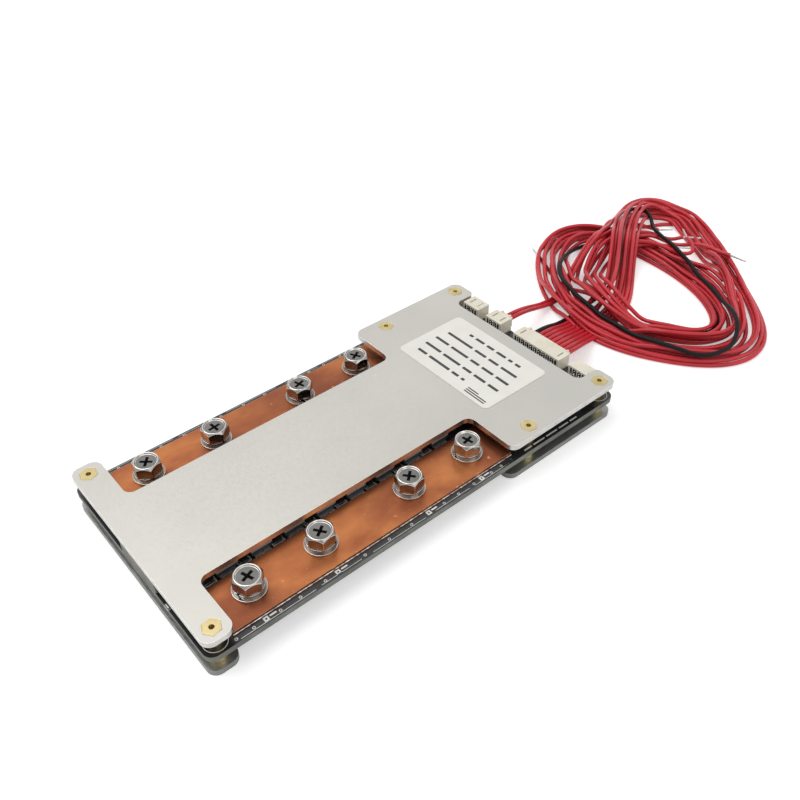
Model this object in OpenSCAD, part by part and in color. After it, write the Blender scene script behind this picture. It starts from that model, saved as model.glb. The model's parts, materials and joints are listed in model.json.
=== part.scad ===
// Battery management board.
// A power circuit board is held between two aluminium heatsink plates. Copper bars with
// screw terminals lie in the windows of the upper plate, and plug headers at one end take
// the sense wires. Millimetres, +Z up, origin under the middle of the lower plate.

/* [Plates and board] */
// Length of the plates and the board
plate_l = 160; // [156:1:176]
// Width of the plates and the board
plate_w = 80; // [78:1:92]
// Thickness of each heatsink plate
plate_t = 2; // [1.6:0.1:3]
// Thickness of the circuit board
board_t = 2; // [1.6:0.1:2.4]
// Free height between the board and each plate
gap_h = 4.3; // [4:0.1:5.5]
// Radius of the outer corners
corner_r = 3.2; // [1:0.1:4]
// Radius in the inner corners of windows and notch
window_r = 2.8; // [1:0.1:3.5]
// Width of the web between the windows
web_w = 40.2; // [39:0.2:42]
// Length of the flange between the plain end and the windows
end_flange_l = 9.4; // [9:0.1:12]
// Length of each window
window_l = 100.1; // [98:0.1:102]
// Depth of the header notch, from the end of the plate
notch_d = 9.7; // [9:0.1:11]
// Width of the header notch
notch_w = 60.8; // [60:0.2:62]
// Sideways place of the notch's middle
notch_y = -0.5; // [-1:0.1:0]
// Radius of the corners where the notch meets the end
ear_r = 2; // [0.5:0.1:3]

/* [Standoffs] */
// Width across flats of the hexagons pressed into the upper plate
standoff_af = 5; // [4.5:0.1:5.5]
// How far each hexagon stands proud of the plate
standoff_proud = 0.1; // [0:0.05:0.3]
// Diameter of the barrel between plate and board
standoff_barrel_d = 4.2; // [3.6:0.1:4.4]
// Diameter of the empty threads that open upwards
tap_d = 1.6; // [1.5:0.05:1.7]
// Depth of the tapped hole that opens upwards
top_tap_depth = 3; // [2.5:0.1:3.4]
// Depth of the tapped hole that takes the assembly screw
low_tap_depth = 2.4; // [2:0.1:2.6]
// Distance from the plate's ends to the corner standoffs
standoff_end_gap = 4.5; // [4.2:0.1:5]
// Distance from the plate's long edges to the standoffs
standoff_side_gap = 4.3; // [4:0.1:5]
// Distance from the windows to the middle pair of standoffs
standoff_mid_gap = 11.4; // [10:0.1:13]
// Diameter of the round spacers under the board
spacer_d = 5; // [4.4:0.1:5.6]

/* [Assembly screws] */
// Shank diameter of the countersunk screws
asm_d = 2; // [1.8:0.05:2.2]
// Length of the countersunk screws over all
asm_l = 10; // [9.6:0.1:10.2]
// Head diameter of the countersunk screws
asm_head_d = 3.8; // [3.4:0.1:4.2]
// Height of the countersunk heads
asm_head_h = 1.1; // [0.9:0.1:1.2]
// Tip to tip width of the cross recess in these heads
asm_cross_w = 2; // [1.6:0.1:2.4]
// Width of each arm of that recess
asm_cross_arm = 0.4; // [0.3:0.05:0.5]
// Depth of that recess
asm_cross_depth = 0.6; // [0.4:0.05:0.8]

/* [Terminals] */
// Distance between the two screws of a pair
pair_pitch = 24; // [20:0.5:25]
// Distance between the two pairs
pair_gap = 33; // [30:0.5:34]
// Shift of the screw group from the windows' middle
terminal_shift = 1; // [0:0.1:2]
// Distance from the web's edge to the line of screws
terminal_in = 8.3; // [7.5:0.1:9]
// Length of each copper bar
bar_l = 103; // [100:0.5:104]
// Thickness of each copper bar
bar_t = 1.2; // [1:0.1:1.6]
// Distance from the board's edge to the bar
bar_edge_gap = 2.7; // [2:0.1:3.5]
// Distance from the web's edge to the bar
bar_web_gap = 0.3; // [0.2:0.1:1]
// Thread diameter of the terminal screws
screw_d = 5; // [4:0.5:5]
// Length of the screws under the head
screw_l = 10; // [9.6:0.1:11]
// Width across flats of screw heads and nuts
hex_af = 8; // [7:0.1:8.4]
// Height of the screw heads
head_h = 4; // [3:0.1:4.4]
// Depth of the dish in the top of each head
dish_depth = 0.5; // [0.2:0.05:0.8]
// Tip to tip width of the cross recess
cross_w = 4.6; // [3.6:0.1:4.8]
// Depth of the cross recess below the dish
cross_depth = 1.7; // [1:0.1:2]
// Width of each arm of the cross recess
cross_arm = 1.05; // [0.8:0.05:1.2]
// Outer diameter of the split washers
split_d = 8.8; // [8:0.1:9.2]
// Thickness of the split washers
split_t = 1.3; // [1:0.1:1.6]
// Width of the cut in the split washers
split_cut = 0.7; // [0.4:0.1:1]
// Outer diameter of the flat washers
flat_d = 10; // [9:0.1:11]
// Thickness of the flat washers
flat_t = 1; // [0.8:0.1:1.2]
// Height of the nuts under the board
nut_h = 4; // [3:0.1:4]

/* [Power transistors] */
// Number of transistors in each row
row_count = 9; // [6:1:9]
// Distance between transistors in a row
row_pitch = 11.3; // [10.5:0.1:11.3]
// Place of the first transistor, back from the windows' start
row_start = 1.95; // [1:0.05:2.5]
// Body width along the row
fet_w = 6.6; // [6:0.1:7]
// Body depth across the row
fet_d = 6.1; // [5.6:0.1:6.2]
// Body height
fet_h = 2.3; // [2:0.1:2.6]
// How far the body's front and back slope in towards its top
fet_slope = 0.3; // [0.1:0.05:0.5]
// Distance from the web's edge in to the bodies
fet_in = 1.1; // [0.9:0.1:2]
// Width of the metal tab
tab_w = 5.3; // [4:0.1:5.6]
// How far the tab shows beyond the body
tab_out = 0.8; // [0.5:0.1:0.8]
// Thickness of tabs and leads
tab_t = 0.5; // [0.4:0.05:0.6]
// Width of each lead
lead_w = 0.8; // [0.6:0.1:0.9]
// Distance between the two leads of a transistor
lead_pitch = 4.6; // [4:0.1:4.6]
// Reach of each lead beyond the body
lead_out = 2.6; // [2:0.1:2.8]
// How far each thermal pad overhangs its transistor
pad_over = 0.2; // [0:0.05:0.4]

/* [Small parts on the board] */
// Length of the chip resistors between the transistors
chip_l = 3.2; // [2:0.1:3.4]
// Width of the chip resistors
chip_w = 1.6; // [1.2:0.1:1.8]
// Height of the chip resistors
chip_h = 0.6; // [0.4:0.05:0.8]
// Gap between the windows and the current sense resistors
sense_gap = 0.8; // [0.4:0.1:2]
// Number of current sense resistors
sense_count = 5; // [3:1:5]
// Length of each current sense resistor
sense_l = 6.4; // [6:0.1:6.6]
// Width of each current sense resistor
sense_w = 3.2; // [2.8:0.1:3.4]
// Height of each current sense resistor
sense_h = 0.9; // [0.6:0.1:1.2]
// Gap between neighbouring sense resistors
sense_space = 1.6; // [0.8:0.1:2]
// Number of cells that the board looks after
cell_count = 8; // [4:1:8]
// Distance between the balancing parts of two cells
cell_pitch = 4; // [3.6:0.1:4.2]
// Length of each balancing transistor
cell_fet_l = 2.9; // [2.6:0.1:3.1]
// Width of each balancing transistor
cell_fet_w = 1.3; // [1.2:0.1:1.6]
// Height of each balancing transistor
cell_fet_h = 1; // [0.8:0.1:1.2]
// Gap between the chips' leads and the balancing resistors
cell_gap = 1; // [0.5:0.1:3]
// Gap between a cell's balancing resistor and its transistor
cell_fet_gap = 1.4; // [0.5:0.1:2]
// Gap between the sense resistors and the monitor chip's leads
chip_gap = 1.4; // [0.6:0.1:3]
// Length of the monitor chip's body
monitor_l = 10.2; // [9:0.1:11]
// Width of the monitor chip's body
monitor_w = 5.3; // [5:0.1:6]
// Height of the monitor chip's body
monitor_h = 1.7; // [1.4:0.1:2]
// Number of leads on each side of the monitor chip
monitor_leads = 14; // [8:1:14]
// Distance between neighbouring leads of the monitor chip
monitor_pitch = 0.65; // [0.6:0.05:0.7]
// Width of the monitor chip's leads
monitor_lead_w = 0.3; // [0.2:0.05:0.35]
// Length of each driver chip's body
driver_l = 4.9; // [4.5:0.1:5.2]
// Width of each driver chip's body
driver_w = 3.9; // [3.6:0.1:4.2]
// Height of each driver chip's body
driver_h = 1.5; // [1.2:0.1:1.7]
// Number of leads on each side of a driver chip
driver_leads = 4; // [2:1:4]
// Distance between neighbouring leads of a driver chip
driver_pitch = 1.2; // [1.1:0.05:1.27]
// Width of the driver chips' leads
driver_lead_w = 0.4; // [0.3:0.05:0.5]
// Sideways place of the first driver chip's middle
driver_y = 14; // [10:0.5:16]
// Gap between the two driver chips
driver_gap = 3; // [1:0.5:4]
// Reach of the chips' leads beyond their bodies
lead_reach = 1.2; // [0.9:0.1:1.4]
// Thickness of the chips' leads
lead_t = 0.2; // [0.15:0.05:0.3]
// Height at which the leads leave the chips
lead_z = 0.6; // [0.5:0.05:0.8]
// Height of the chips' bodies above the board
chip_lift = 0.1; // [0.05:0.05:0.2]
// Width of the thermal pad at the plain end
end_pad_w = 20; // [14:0.5:22]
// Depth of the thermal pad at the plain end
end_pad_d = 3.6; // [2.5:0.1:3.8]
// Sideways place of the end pad's middle
end_pad_y = -2.4; // [-2.6:0.1:2]

/* [Headers and plugs] */
// Distance between neighbouring contacts
pin_pitch = 2; // [2:0.05:2.1]
// Housing width beyond the outermost contacts, both sides together
header_extra = 5.9; // [5.6:0.1:6.1]
// Height of the housings
header_h = 5.5; // [5:0.1:5.8]
// Depth of the slotted housings
header_d = 6; // [5.6:0.1:6.6]
// Depth of the plain housing
plain_d = 5; // [4.6:0.1:5.4]
// Thickness of the side walls
side_wall = 0.95; // [0.8:0.05:1.1]
// Thickness of the top and bottom walls
skin_wall = 0.6; // [0.5:0.05:0.7]
// Thickness of the back wall
back_wall = 1.2; // [1:0.1:1.6]
// Width of the slots in the top wall
slot_w = 0.6; // [0.4:0.05:0.8]
// Length of the slots in the top wall
slot_l = 3.2; // [2.5:0.1:3.6]
// Distance between the two slots beyond the outermost contacts
slot_extra = 1.9; // [1.6:0.1:2.1]
// Width and height of each contact
contact_w = 0.5; // [0.4:0.05:0.6]
// Height of the contacts above the board
contact_z = 2.75; // [2.6:0.05:2.9]
// Gap between a contact's tip and the mouth of its housing
tip_gap = 1.4; // [1:0.1:2]
// Length of each contact's foot behind the housing
foot_l = 2; // [1.5:0.1:2.4]
// Reach of each contact behind the housing before it turns down
heel_out = 0.4; // [0.2:0.05:0.8]
// Sideways place of the spare two-way header, in from the notch's back edge
spare_y = 4.4; // [4.2:0.1:4.8]
// Sideways place of the two-way header with wires, in from the spare header
sensor_y = 12; // [10:0.1:12.4]
// Sideways place of the plain header, in from the notch's front edge
plain_y = 4.3; // [4.2:0.1:4.8]
// Sideways place of the nine-way header: 0 lies against the plain header, 1 against the wired one
balance_y = 0.374; // [0.3:0.01:0.6]
// Length of the metal ears that hold the headers
ear_l = 2.4; // [1.6:0.1:3]
// Thickness of these ears
ear_t = 0.5; // [0.3:0.05:0.6]
// Height of these ears
ear_h = 1; // [0.6:0.1:1.4]
// How far a plug stands out of its header
plug_out = 1.5; // [1:0.1:2]
// Gap between a plug's nose and the header's back wall
plug_nose_gap = 0.8; // [0.5:0.1:1]
// Diameter of the wires over their insulation
wire_d = 1.7; // [1.4:0.1:1.8]

/* [Label] */
// Length of the label along the plate
label_l = 29.5; // [26:0.5:30]
// Width of the label
label_w = 44; // [38:0.5:46]
// Thickness of the label
label_t = 0.15; // [0.1:0.05:0.3]
// Distance from the plate's end to the label
label_end_gap = 14.9; // [14:0.1:16]
// Sideways place of the label's middle
label_y = 0.5; // [-1:0.1:1]
// Radius of the label's corners
label_r = 2; // [0.5:0.1:3]

/* [Clearances] */
// Gap round each standoff's hexagon in the upper plate
press_gap = 0.03; // [0.02:0.01:0.1]
// Gap round the shank of each screw in its thread
thread_gap = 0.05; // [0.03:0.01:0.1]
// Gap round the shank of each screw in plates, board and washers
screw_gap = 0.25; // [0.15:0.05:0.4]
// Gap between each plug and its header
plug_gap = 0.1; // [0.05:0.01:0.15]
// Gap round each contact in plastic
contact_gap = 0.05; // [0.03:0.01:0.1]

/* [Hidden] */
$fn = 48;
eps = 0.01;

// Heights of the stack
board_z = plate_t + gap_h;
board_top = board_z + board_t;
upper_z = board_top + gap_h;
upper_top = upper_z + plate_t;
bar_top = board_top + bar_t;
head_z = bar_top + flat_t + split_t;

// Places along the length
end_x = plate_l / 2;
window_x0 = -end_x + end_flange_l;
window_x1 = window_x0 + window_l;
window_x = (window_x0 + window_x1) / 2;
terminal_x = window_x + terminal_shift;
terminal_y = web_w / 2 + terminal_in;
bar_w = plate_w / 2 - bar_edge_gap - web_w / 2 - bar_web_gap;
bar_y = web_w / 2 + bar_web_gap + bar_w / 2;
fet_y = web_w / 2 - fet_in - fet_d / 2;
sense_x = window_x1 + sense_gap + sense_l / 2;
chip_x = sense_x + sense_l / 2 + chip_gap + lead_reach + monitor_w / 2;
cell_x = chip_x + monitor_w / 2 + lead_reach + cell_gap + chip_l / 2;
cell_fet_x = chip_l / 2 + cell_fet_gap + cell_fet_w / 2;
standoff_x = [-end_x + standoff_end_gap, window_x1 + standoff_mid_gap, end_x - standoff_end_gap];
standoff_y = plate_w / 2 - standoff_side_gap;

// Middles of the headers
function header_w(n) = (n - 1) * pin_pitch + header_extra;
spare_mid = notch_y + notch_w / 2 - spare_y;
sensor_mid = spare_mid - sensor_y;
plain_mid = notch_y - notch_w / 2 + plain_y;
balance_free = sensor_mid - plain_mid - header_w(2) - header_w(cell_count + 1);
balance_mid = plain_mid + (header_w(2) + header_w(cell_count + 1)) / 2 + balance_y * balance_free;

// Each pressed or driven piece stands at its own angle
standoff_turn = [8, 20, 51, 33, 14, 42];
screw_turn = [12, 35, 20, 41, 50, 5, 28, 17];
cross_turn = [30, 62, 15, 48, 5, 75, 38, 20];
washer_turn = [200, 80, 310, 140, 20, 250, 170, 100];

// Route of the loose wires from a plug to the coil: share of the way out, share of the drop
wire_route = [[0, 0], [0.14, 0.02], [0.3, 0.15], [0.48, 0.42], [0.66, 0.72], [0.83, 0.94], [1, 1]];
coil_h = 8;
coil_x = 110;
coil_step_x = 116;
balance_entry_y = -1;
balance_entry_pitch = 1.9;
sensor_entry_y = 19;
entry_z = 1.6;
// Outer shape of the loose coil, and the hole in it
coil_outline = [
    [110, -12], [110, 12], [116, 15], [116, 24], [124, 28], [134, 38], [141, 46], [150, 53],
    [162, 56], [172, 52], [178, 45], [183, 41], [192, 47], [202, 53], [209, 54], [217, 51],
    [222, 43], [222, 34], [219, 22], [212, 9], [200, -9], [189, -22], [175, -38], [162, -49],
    [148, -54], [139, -52], [129, -43], [120, -31], [113, -20]
];
coil_hole = [
    [138, -1], [149, 5], [160, 12], [164, 5], [167, -12], [165, -24], [158, -33], [148, -34],
    [140, -26], [136, -14]
];

// A box given by its middle in plan and its underside
module block(l, w, h, x = 0, y = 0, z = 0) {
    translate([x - l / 2, y - w / 2, z]) cube([l, w, h]);
}

// A rectangle with round corners
module rounded(l, w, r) {
    square([l - 2 * r, w], center = true);
    square([l, w - 2 * r], center = true);
    for (x = [-1, 1], y = [-1, 1]) translate([x * (l / 2 - r), y * (w / 2 - r)]) circle(r);
}

// What is cut away to round an outside corner that points along sx, sy
module corner_off(x, y, sx, sy, r) {
    translate([x, y]) difference() {
        translate([min(0, -sx * r) - (sx < 0 ? 1 : 0), min(0, -sy * r) - (sy < 0 ? 1 : 0)])
            square(r + 1);
        translate([-sx * r, -sy * r]) circle(r);
    }
}

module hexagon(af) {
    circle(d = af / cos(30), $fn = 6);
}

// Puts its child at each standoff, in the order of standoff_turn
module at_standoffs() {
    for (i = [0:2], j = [0:1])
        translate([standoff_x[i], (2 * j - 1) * standoff_y]) {
            $turn = standoff_turn[2 * i + j];
            children();
        }
}

// Puts its child at each terminal screw
module at_terminals() {
    offsets = [-pair_gap / 2 - pair_pitch, -pair_gap / 2, pair_gap / 2, pair_gap / 2 + pair_pitch];
    for (i = [0:3], j = [0:1])
        translate([terminal_x + offsets[i], (2 * j - 1) * terminal_y]) {
            $index = 2 * i + j;
            children();
        }
}

// Puts its child at each transistor, turned so that +Y points out to the bar
module at_row() {
    for (i = [0:row_count - 1], side = [0, 180])
        translate([window_x0 - row_start + i * row_pitch, 0]) rotate(side)
            translate([0, fet_y]) children();
}

// --- plates and board ---

// Outline shared by both plates: an I with long windows, and a notch for the headers
module plate_outline() {
    difference() {
        rounded(plate_l, plate_w, corner_r);
        for (side = [-1, 1]) {
            translate([window_x, side * (web_w / 2 + plate_w / 2)]) rounded(window_l, plate_w, window_r);
            corner_off(window_x0, side * plate_w / 2, 1, side, corner_r);
            corner_off(window_x1, side * plate_w / 2, -1, side, corner_r);
        }
        translate([end_x, notch_y]) rounded(2 * notch_d, notch_w, window_r);
        corner_off(end_x, notch_y + notch_w / 2, 1, -1, ear_r);
        corner_off(end_x, notch_y - notch_w / 2, 1, 1, ear_r);
    }
}

module bottom_heatsink_plate() {
    color("silver") difference() {
        linear_extrude(plate_t) plate_outline();
        at_standoffs() {
            translate([0, 0, -1]) cylinder(d = asm_d + 2 * screw_gap, h = plate_t + 2);
            translate([0, 0, -eps]) cylinder(d1 = asm_head_d + 2 * thread_gap + 2 * eps,
                d2 = asm_d + 2 * thread_gap, h = asm_head_h + eps);
        }
    }
}

module top_heatsink_plate() {
    color("gainsboro") translate([0, 0, upper_z]) difference() {
        linear_extrude(plate_t) plate_outline();
        at_standoffs() translate([0, 0, -1]) linear_extrude(plate_t + 2)
            rotate($turn) hexagon(standoff_af + 2 * press_gap);
    }
}

module circuit_board() {
    color("#202824") translate([0, 0, board_z]) difference() {
        linear_extrude(board_t) rounded(plate_l, plate_w, corner_r);
        at_standoffs() translate([0, 0, -1]) cylinder(d = asm_d + 2 * screw_gap, h = board_t + 2);
        at_terminals() translate([0, 0, -1]) cylinder(d = screw_d + 2 * screw_gap, h = board_t + 2);
    }
}

// --- standoffs and assembly screws ---

// A barrel that stands on the board, under a hexagon that is pressed into the upper plate
module upper_standoffs() {
    top = gap_h + plate_t + standoff_proud;
    color("goldenrod") at_standoffs() translate([0, 0, board_top]) difference() {
        union() {
            cylinder(d = standoff_barrel_d, h = gap_h);
            translate([0, 0, gap_h]) linear_extrude(plate_t + standoff_proud)
                rotate($turn) hexagon(standoff_af);
        }
        translate([0, 0, top - top_tap_depth]) cylinder(d = tap_d, h = top_tap_depth + 1);
        translate([0, 0, -1]) cylinder(d = asm_d + 2 * thread_gap, h = low_tap_depth + 1);
    }
}

module lower_spacers() {
    color("darkkhaki") at_standoffs() translate([0, 0, plate_t]) difference() {
        cylinder(d = spacer_d, h = gap_h);
        translate([0, 0, -1]) cylinder(d = asm_d + 2 * screw_gap, h = gap_h + 2);
    }
}

module assembly_screws() {
    color("dimgray") at_standoffs() difference() {
        union() {
            cylinder(d1 = asm_head_d, d2 = asm_d, h = asm_head_h);
            cylinder(d = asm_d, h = asm_l);
        }
        for (a = [0, 90]) rotate(a + $turn)
            block(asm_cross_w, asm_cross_arm, asm_cross_depth + 1, z = -1);
    }
}

// --- terminals ---

module terminal_bar() {
    translate([0, 0, board_top]) difference() {
        block(bar_l, bar_w, bar_t, window_x + terminal_shift, bar_y);
        at_terminals() translate([0, 0, -1]) cylinder(d = screw_d + 2 * screw_gap, h = bar_t + 2);
    }
}

module pack_negative_bar() {
    color("peru") mirror([0, 1, 0]) terminal_bar();
}

module battery_negative_bar() {
    color("sandybrown") terminal_bar();
}

module flat_washers() {
    color("lightgray") at_terminals() translate([0, 0, bar_top]) difference() {
        cylinder(d = flat_d, h = flat_t);
        translate([0, 0, -1]) cylinder(d = screw_d + 2 * screw_gap, h = flat_t + 2);
    }
}

// The cut of a split washer leans, so its two ends bite
module split_washers() {
    color("gray") at_terminals() translate([0, 0, bar_top + flat_t]) difference() {
        cylinder(d = split_d, h = split_t);
        translate([0, 0, -1]) cylinder(d = screw_d + 2 * screw_gap, h = split_t + 2);
        rotate(washer_turn[$index]) translate([split_d / 2, 0, split_t / 2]) rotate([35, 0, 0])
            block(split_d, split_cut, 4 * split_t, z = -2 * split_t);
    }
}

// Tapering arm of the cross recess, cut down from z = 0
module cross_arm_cut() {
    rotate([90, 0, 0]) translate([0, 0, -cross_arm / 2]) linear_extrude(cross_arm)
        polygon([[-cross_w / 2, 1], [-cross_w / 2, 0], [-cross_arm / 2, -cross_depth],
            [cross_arm / 2, -cross_depth], [cross_w / 2, 0], [cross_w / 2, 1]]);
}

// Hexagon with chamfered corners and a dished face, made by turning a bar and milling it
module screw_head() {
    face_r = hex_af / 2;
    tip_r = face_r / cos(30);
    chamfer = (tip_r - face_r) * tan(30);
    difference() {
        intersection() {
            linear_extrude(head_h) hexagon(hex_af);
            rotate_extrude() polygon([[0, 0], [face_r, 0], [tip_r, chamfer],
                [tip_r, head_h - chamfer], [face_r, head_h], [0, head_h]]);
        }
        translate([0, 0, head_h]) rotate_extrude()
            polygon([[0, 1], [face_r * 0.88, 1], [face_r * 0.88, 0], [face_r * 0.8, -dish_depth],
                [0, -dish_depth]]);
        translate([0, 0, head_h - dish_depth]) rotate(cross_turn[$index])
            for (a = [0, 90]) rotate(a) cross_arm_cut();
    }
}

module terminal_screws() {
    tip = screw_d * 0.1;
    color("whitesmoke") at_terminals() translate([0, 0, head_z]) {
        union() {
            rotate(screw_turn[$index]) screw_head();
            translate([0, 0, -screw_l]) rotate_extrude() polygon([[0, 0], [screw_d / 2 - tip, 0],
                [screw_d / 2, tip], [screw_d / 2, screw_l + eps], [0, screw_l + eps]]);
        }
    }
}

module terminal_nuts() {
    color("silver") at_terminals() translate([0, 0, board_z - nut_h]) difference() {
        linear_extrude(nut_h) hexagon(hex_af);
        translate([0, 0, -1]) cylinder(d = screw_d + 2 * thread_gap, h = nut_h + 2);
    }
}

// --- power transistors ---

// Moulded body on its tab. Its front and back slope in above the line where the leads come out
module fet_body() {
    part_z = 2 * tab_t + 0.5;
    rotate([90, 0, 90]) translate([0, 0, -fet_w / 2]) linear_extrude(fet_w)
        polygon([[-fet_d / 2, tab_t], [-fet_d / 2, part_z], [-fet_d / 2 + fet_slope, fet_h],
            [fet_d / 2 - fet_slope, fet_h], [fet_d / 2, part_z], [fet_d / 2, tab_t]]);
}

// Heat tab under the body, and the two leads that step down to the board
module fet_metal() {
    block(tab_w, fet_d * 0.8 + tab_out, tab_t, y = fet_d * 0.1 + tab_out / 2);
    for (side = [-1, 1]) translate([side * lead_pitch / 2 - lead_w / 2, 0, 0])
        rotate([90, 0, 90]) linear_extrude(lead_w)
            translate([-fet_d / 2, 0]) polygon([[0, tab_t + 0.5], [0, 2 * tab_t + 0.5],
                [-lead_out * 0.5, 2 * tab_t + 0.5], [-lead_out * 0.7, tab_t], [-lead_out, tab_t],
                [-lead_out, 0], [-lead_out * 0.6, 0], [-lead_out * 0.4, tab_t + 0.5]]);
}

module fet_pad() {
    block(fet_w + 2 * pad_over, fet_d + 2 * pad_over, gap_h - fet_h, z = fet_h);
}

module on_board() {
    translate([0, 0, board_top]) at_row() children();
}

module under_board() {
    translate([0, 0, board_z]) mirror([0, 0, 1]) at_row() children();
}

module upper_transistors() { color("darkslategray") on_board() fet_body(); }
module upper_transistor_metal() { color("lightsteelblue") on_board() fet_metal(); }
module upper_thermal_pads() { color("slategray") on_board() fet_pad(); }
module lower_transistors() { color("darkslategray") under_board() fet_body(); }
module lower_transistor_metal() { color("lightsteelblue") under_board() fet_metal(); }
module lower_thermal_pads() { color("slategray") under_board() fet_pad(); }

// --- small parts on the board ---

module gate_resistors() {
    color("black") on_board() block(chip_l, chip_w, chip_h, row_pitch / 2, fet_d / 2 - chip_w / 2);
}

module sense_resistors() {
    color("olive") for (i = [0:sense_count - 1])
        block(sense_l, sense_w, sense_h, sense_x,
            (i - (sense_count - 1) / 2) * (sense_w + sense_space), board_top);
}

// Puts its child at each cell's place in the balancing column
module at_cells() {
    for (i = [0:cell_count - 1])
        translate([cell_x, balance_mid + (i - (cell_count - 1) / 2) * cell_pitch, board_top]) children();
}

module balance_resistors() { color("dimgray") at_cells() block(chip_l, chip_w, chip_h); }
module balance_transistors() {
    color("darkslategray") at_cells() block(cell_fet_w, cell_fet_l, cell_fet_h, x = cell_fet_x);
}

module at_monitor() { translate([chip_x, balance_mid, board_top]) children(); }

module at_drivers() {
    for (i = [0, 1]) translate([chip_x, driver_y + i * (driver_l + driver_gap), board_top]) children();
}

module monitor_chip() {
    color("darkslategray") at_monitor() block(monitor_w, monitor_l, monitor_h - chip_lift, z = chip_lift);
}

module driver_chips() {
    color("darkslategray") at_drivers() block(driver_w, driver_l, driver_h - chip_lift, z = chip_lift);
}

// One row of leads down each long side of a chip
module leads(width, count, pitch, w) {
    for (side = [0, 180], i = [0:count - 1]) rotate(side)
        translate([width / 2, (i - (count - 1) / 2) * pitch + w / 2, 0])
            rotate([90, 0, 0]) linear_extrude(w)
                polygon([[0, lead_z], [0, lead_z + lead_t], [lead_reach * 0.4, lead_z + lead_t],
                    [lead_reach * 0.6, lead_t], [lead_reach, lead_t], [lead_reach, 0],
                    [lead_reach * 0.5, 0], [lead_reach * 0.3, lead_z]]);
}

module chip_leads() {
    color("lightgray") {
        at_monitor() leads(monitor_w, monitor_leads, monitor_pitch, monitor_lead_w);
        at_drivers() leads(driver_w, driver_leads, driver_pitch, driver_lead_w);
    }
}

module end_thermal_pad() {
    color("darkgray") block(end_pad_d, end_pad_w, gap_h, -end_x + end_pad_d / 2, end_pad_y, board_top);
}

// --- headers, contacts and plugs ---

// Puts its child at each contact of a header, seen from the header's middle
module at_contacts(n) {
    for (i = [0:n - 1]) translate([0, (i - (n - 1) / 2) * pin_pitch]) children();
}

// Housing with its mouth at x = 0, open towards +X
module header(n, depth, slotted) {
    w = header_w(n);
    difference() {
        block(depth, w, header_h, -depth / 2);
        block(depth - back_wall + 1, w - 2 * side_wall, header_h - 2 * skin_wall,
            (1 + back_wall - depth) / 2, 0, skin_wall);
        at_contacts(n) block(back_wall + 2, contact_w + 2 * contact_gap, contact_w + 2 * contact_gap,
            -depth + back_wall / 2, 0, contact_z - contact_w / 2 - contact_gap);
        if (slotted) for (side = [-1, 1])
            block(slot_l, slot_w, skin_wall + 1, -depth / 2 + 0.2,
                side * ((n - 1) * pin_pitch + slot_extra) / 2, header_h - skin_wall - eps);
    }
}

// Contact that runs from the mouth through the back wall, then down to its foot
module contact(depth) {
    heel = -depth - heel_out;
    rotate([90, 0, 0]) translate([0, 0, -contact_w / 2]) linear_extrude(contact_w)
        polygon([[-tip_gap, contact_z - contact_w / 2], [-tip_gap, contact_z + contact_w / 2],
            [heel - contact_w, contact_z + contact_w / 2], [heel - contact_w, contact_w],
            [heel - foot_l, contact_w], [heel - foot_l, 0], [heel, 0], [heel, contact_z - contact_w / 2]]);
}

// Small metal ear on each side that is soldered to the board
module solder_ears(n, depth) {
    for (side = [-1, 1])
        block(ear_l, ear_t, ear_h, -depth / 2, side * (header_w(n) + ear_t) / 2);
}

module at_header(y) { translate([end_x, y, board_top]) children(); }

module spare_header() { color("ivory") at_header(spare_mid) header(2, header_d, true); }
module sensor_header() { color("ivory") at_header(sensor_mid) header(2, header_d, true); }
module balance_header() { color("ivory") at_header(balance_mid) header(cell_count + 1, header_d, true); }
module plain_header() { color("beige") at_header(plain_mid) header(2, plain_d, false); }

module header_contacts() {
    color("khaki") {
        for (y = [spare_mid, sensor_mid]) at_header(y) {
            at_contacts(2) contact(header_d);
            solder_ears(2, header_d);
        }
        at_header(balance_mid) {
            at_contacts(cell_count + 1) contact(header_d);
            solder_ears(cell_count + 1, header_d);
        }
        at_header(plain_mid) {
            at_contacts(2) contact(plain_d);
            solder_ears(2, plain_d);
        }
    }
}

// Plug that fills the mouth of a header, with a square hole for each contact
module plug(n) {
    nose = -header_d + back_wall + plug_nose_gap;
    l = plug_out - nose;
    w = header_w(n) - 2 * side_wall - 2 * plug_gap;
    h = header_h - 2 * skin_wall - 2 * plug_gap;
    reach = -tip_gap + 0.4 - nose;
    difference() {
        union() {
            block(l, w, h, nose + l / 2, 0, skin_wall + plug_gap);
            for (side = [-1, 1]) block(plug_out - 0.2, slot_w, skin_wall, 0.1 + plug_out / 2,
                side * ((n - 1) * pin_pitch + slot_extra) / 2, skin_wall + plug_gap + h - eps);
        }
        at_contacts(n) block(reach + 1, contact_w + 4 * contact_gap, contact_w + 4 * contact_gap,
            nose + (reach - 1) / 2, 0, contact_z - contact_w / 2 - 2 * contact_gap);
    }
}

module sensor_plug() { color("linen") at_header(sensor_mid) plug(2); }
module balance_plug() { color("linen") at_header(balance_mid) plug(cell_count + 1); }

module label() {
    color("white") translate([end_x - label_end_gap - label_l / 2, label_y, upper_top])
        linear_extrude(label_t) rounded(label_l, label_w, label_r);
}

// --- wires ---

function unit(v) = v / norm(v);

// Ring of a tube: its middle, its direction, its radius and the number of its sides
function ring(p, t, r, sides) =
    let (side = unit(cross(t, [0, 0, 1])), up = cross(side, t))
    [for (k = [0:sides - 1]) p + r * (cos(360 * k / sides) * side + sin(360 * k / sides) * up)];

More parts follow.
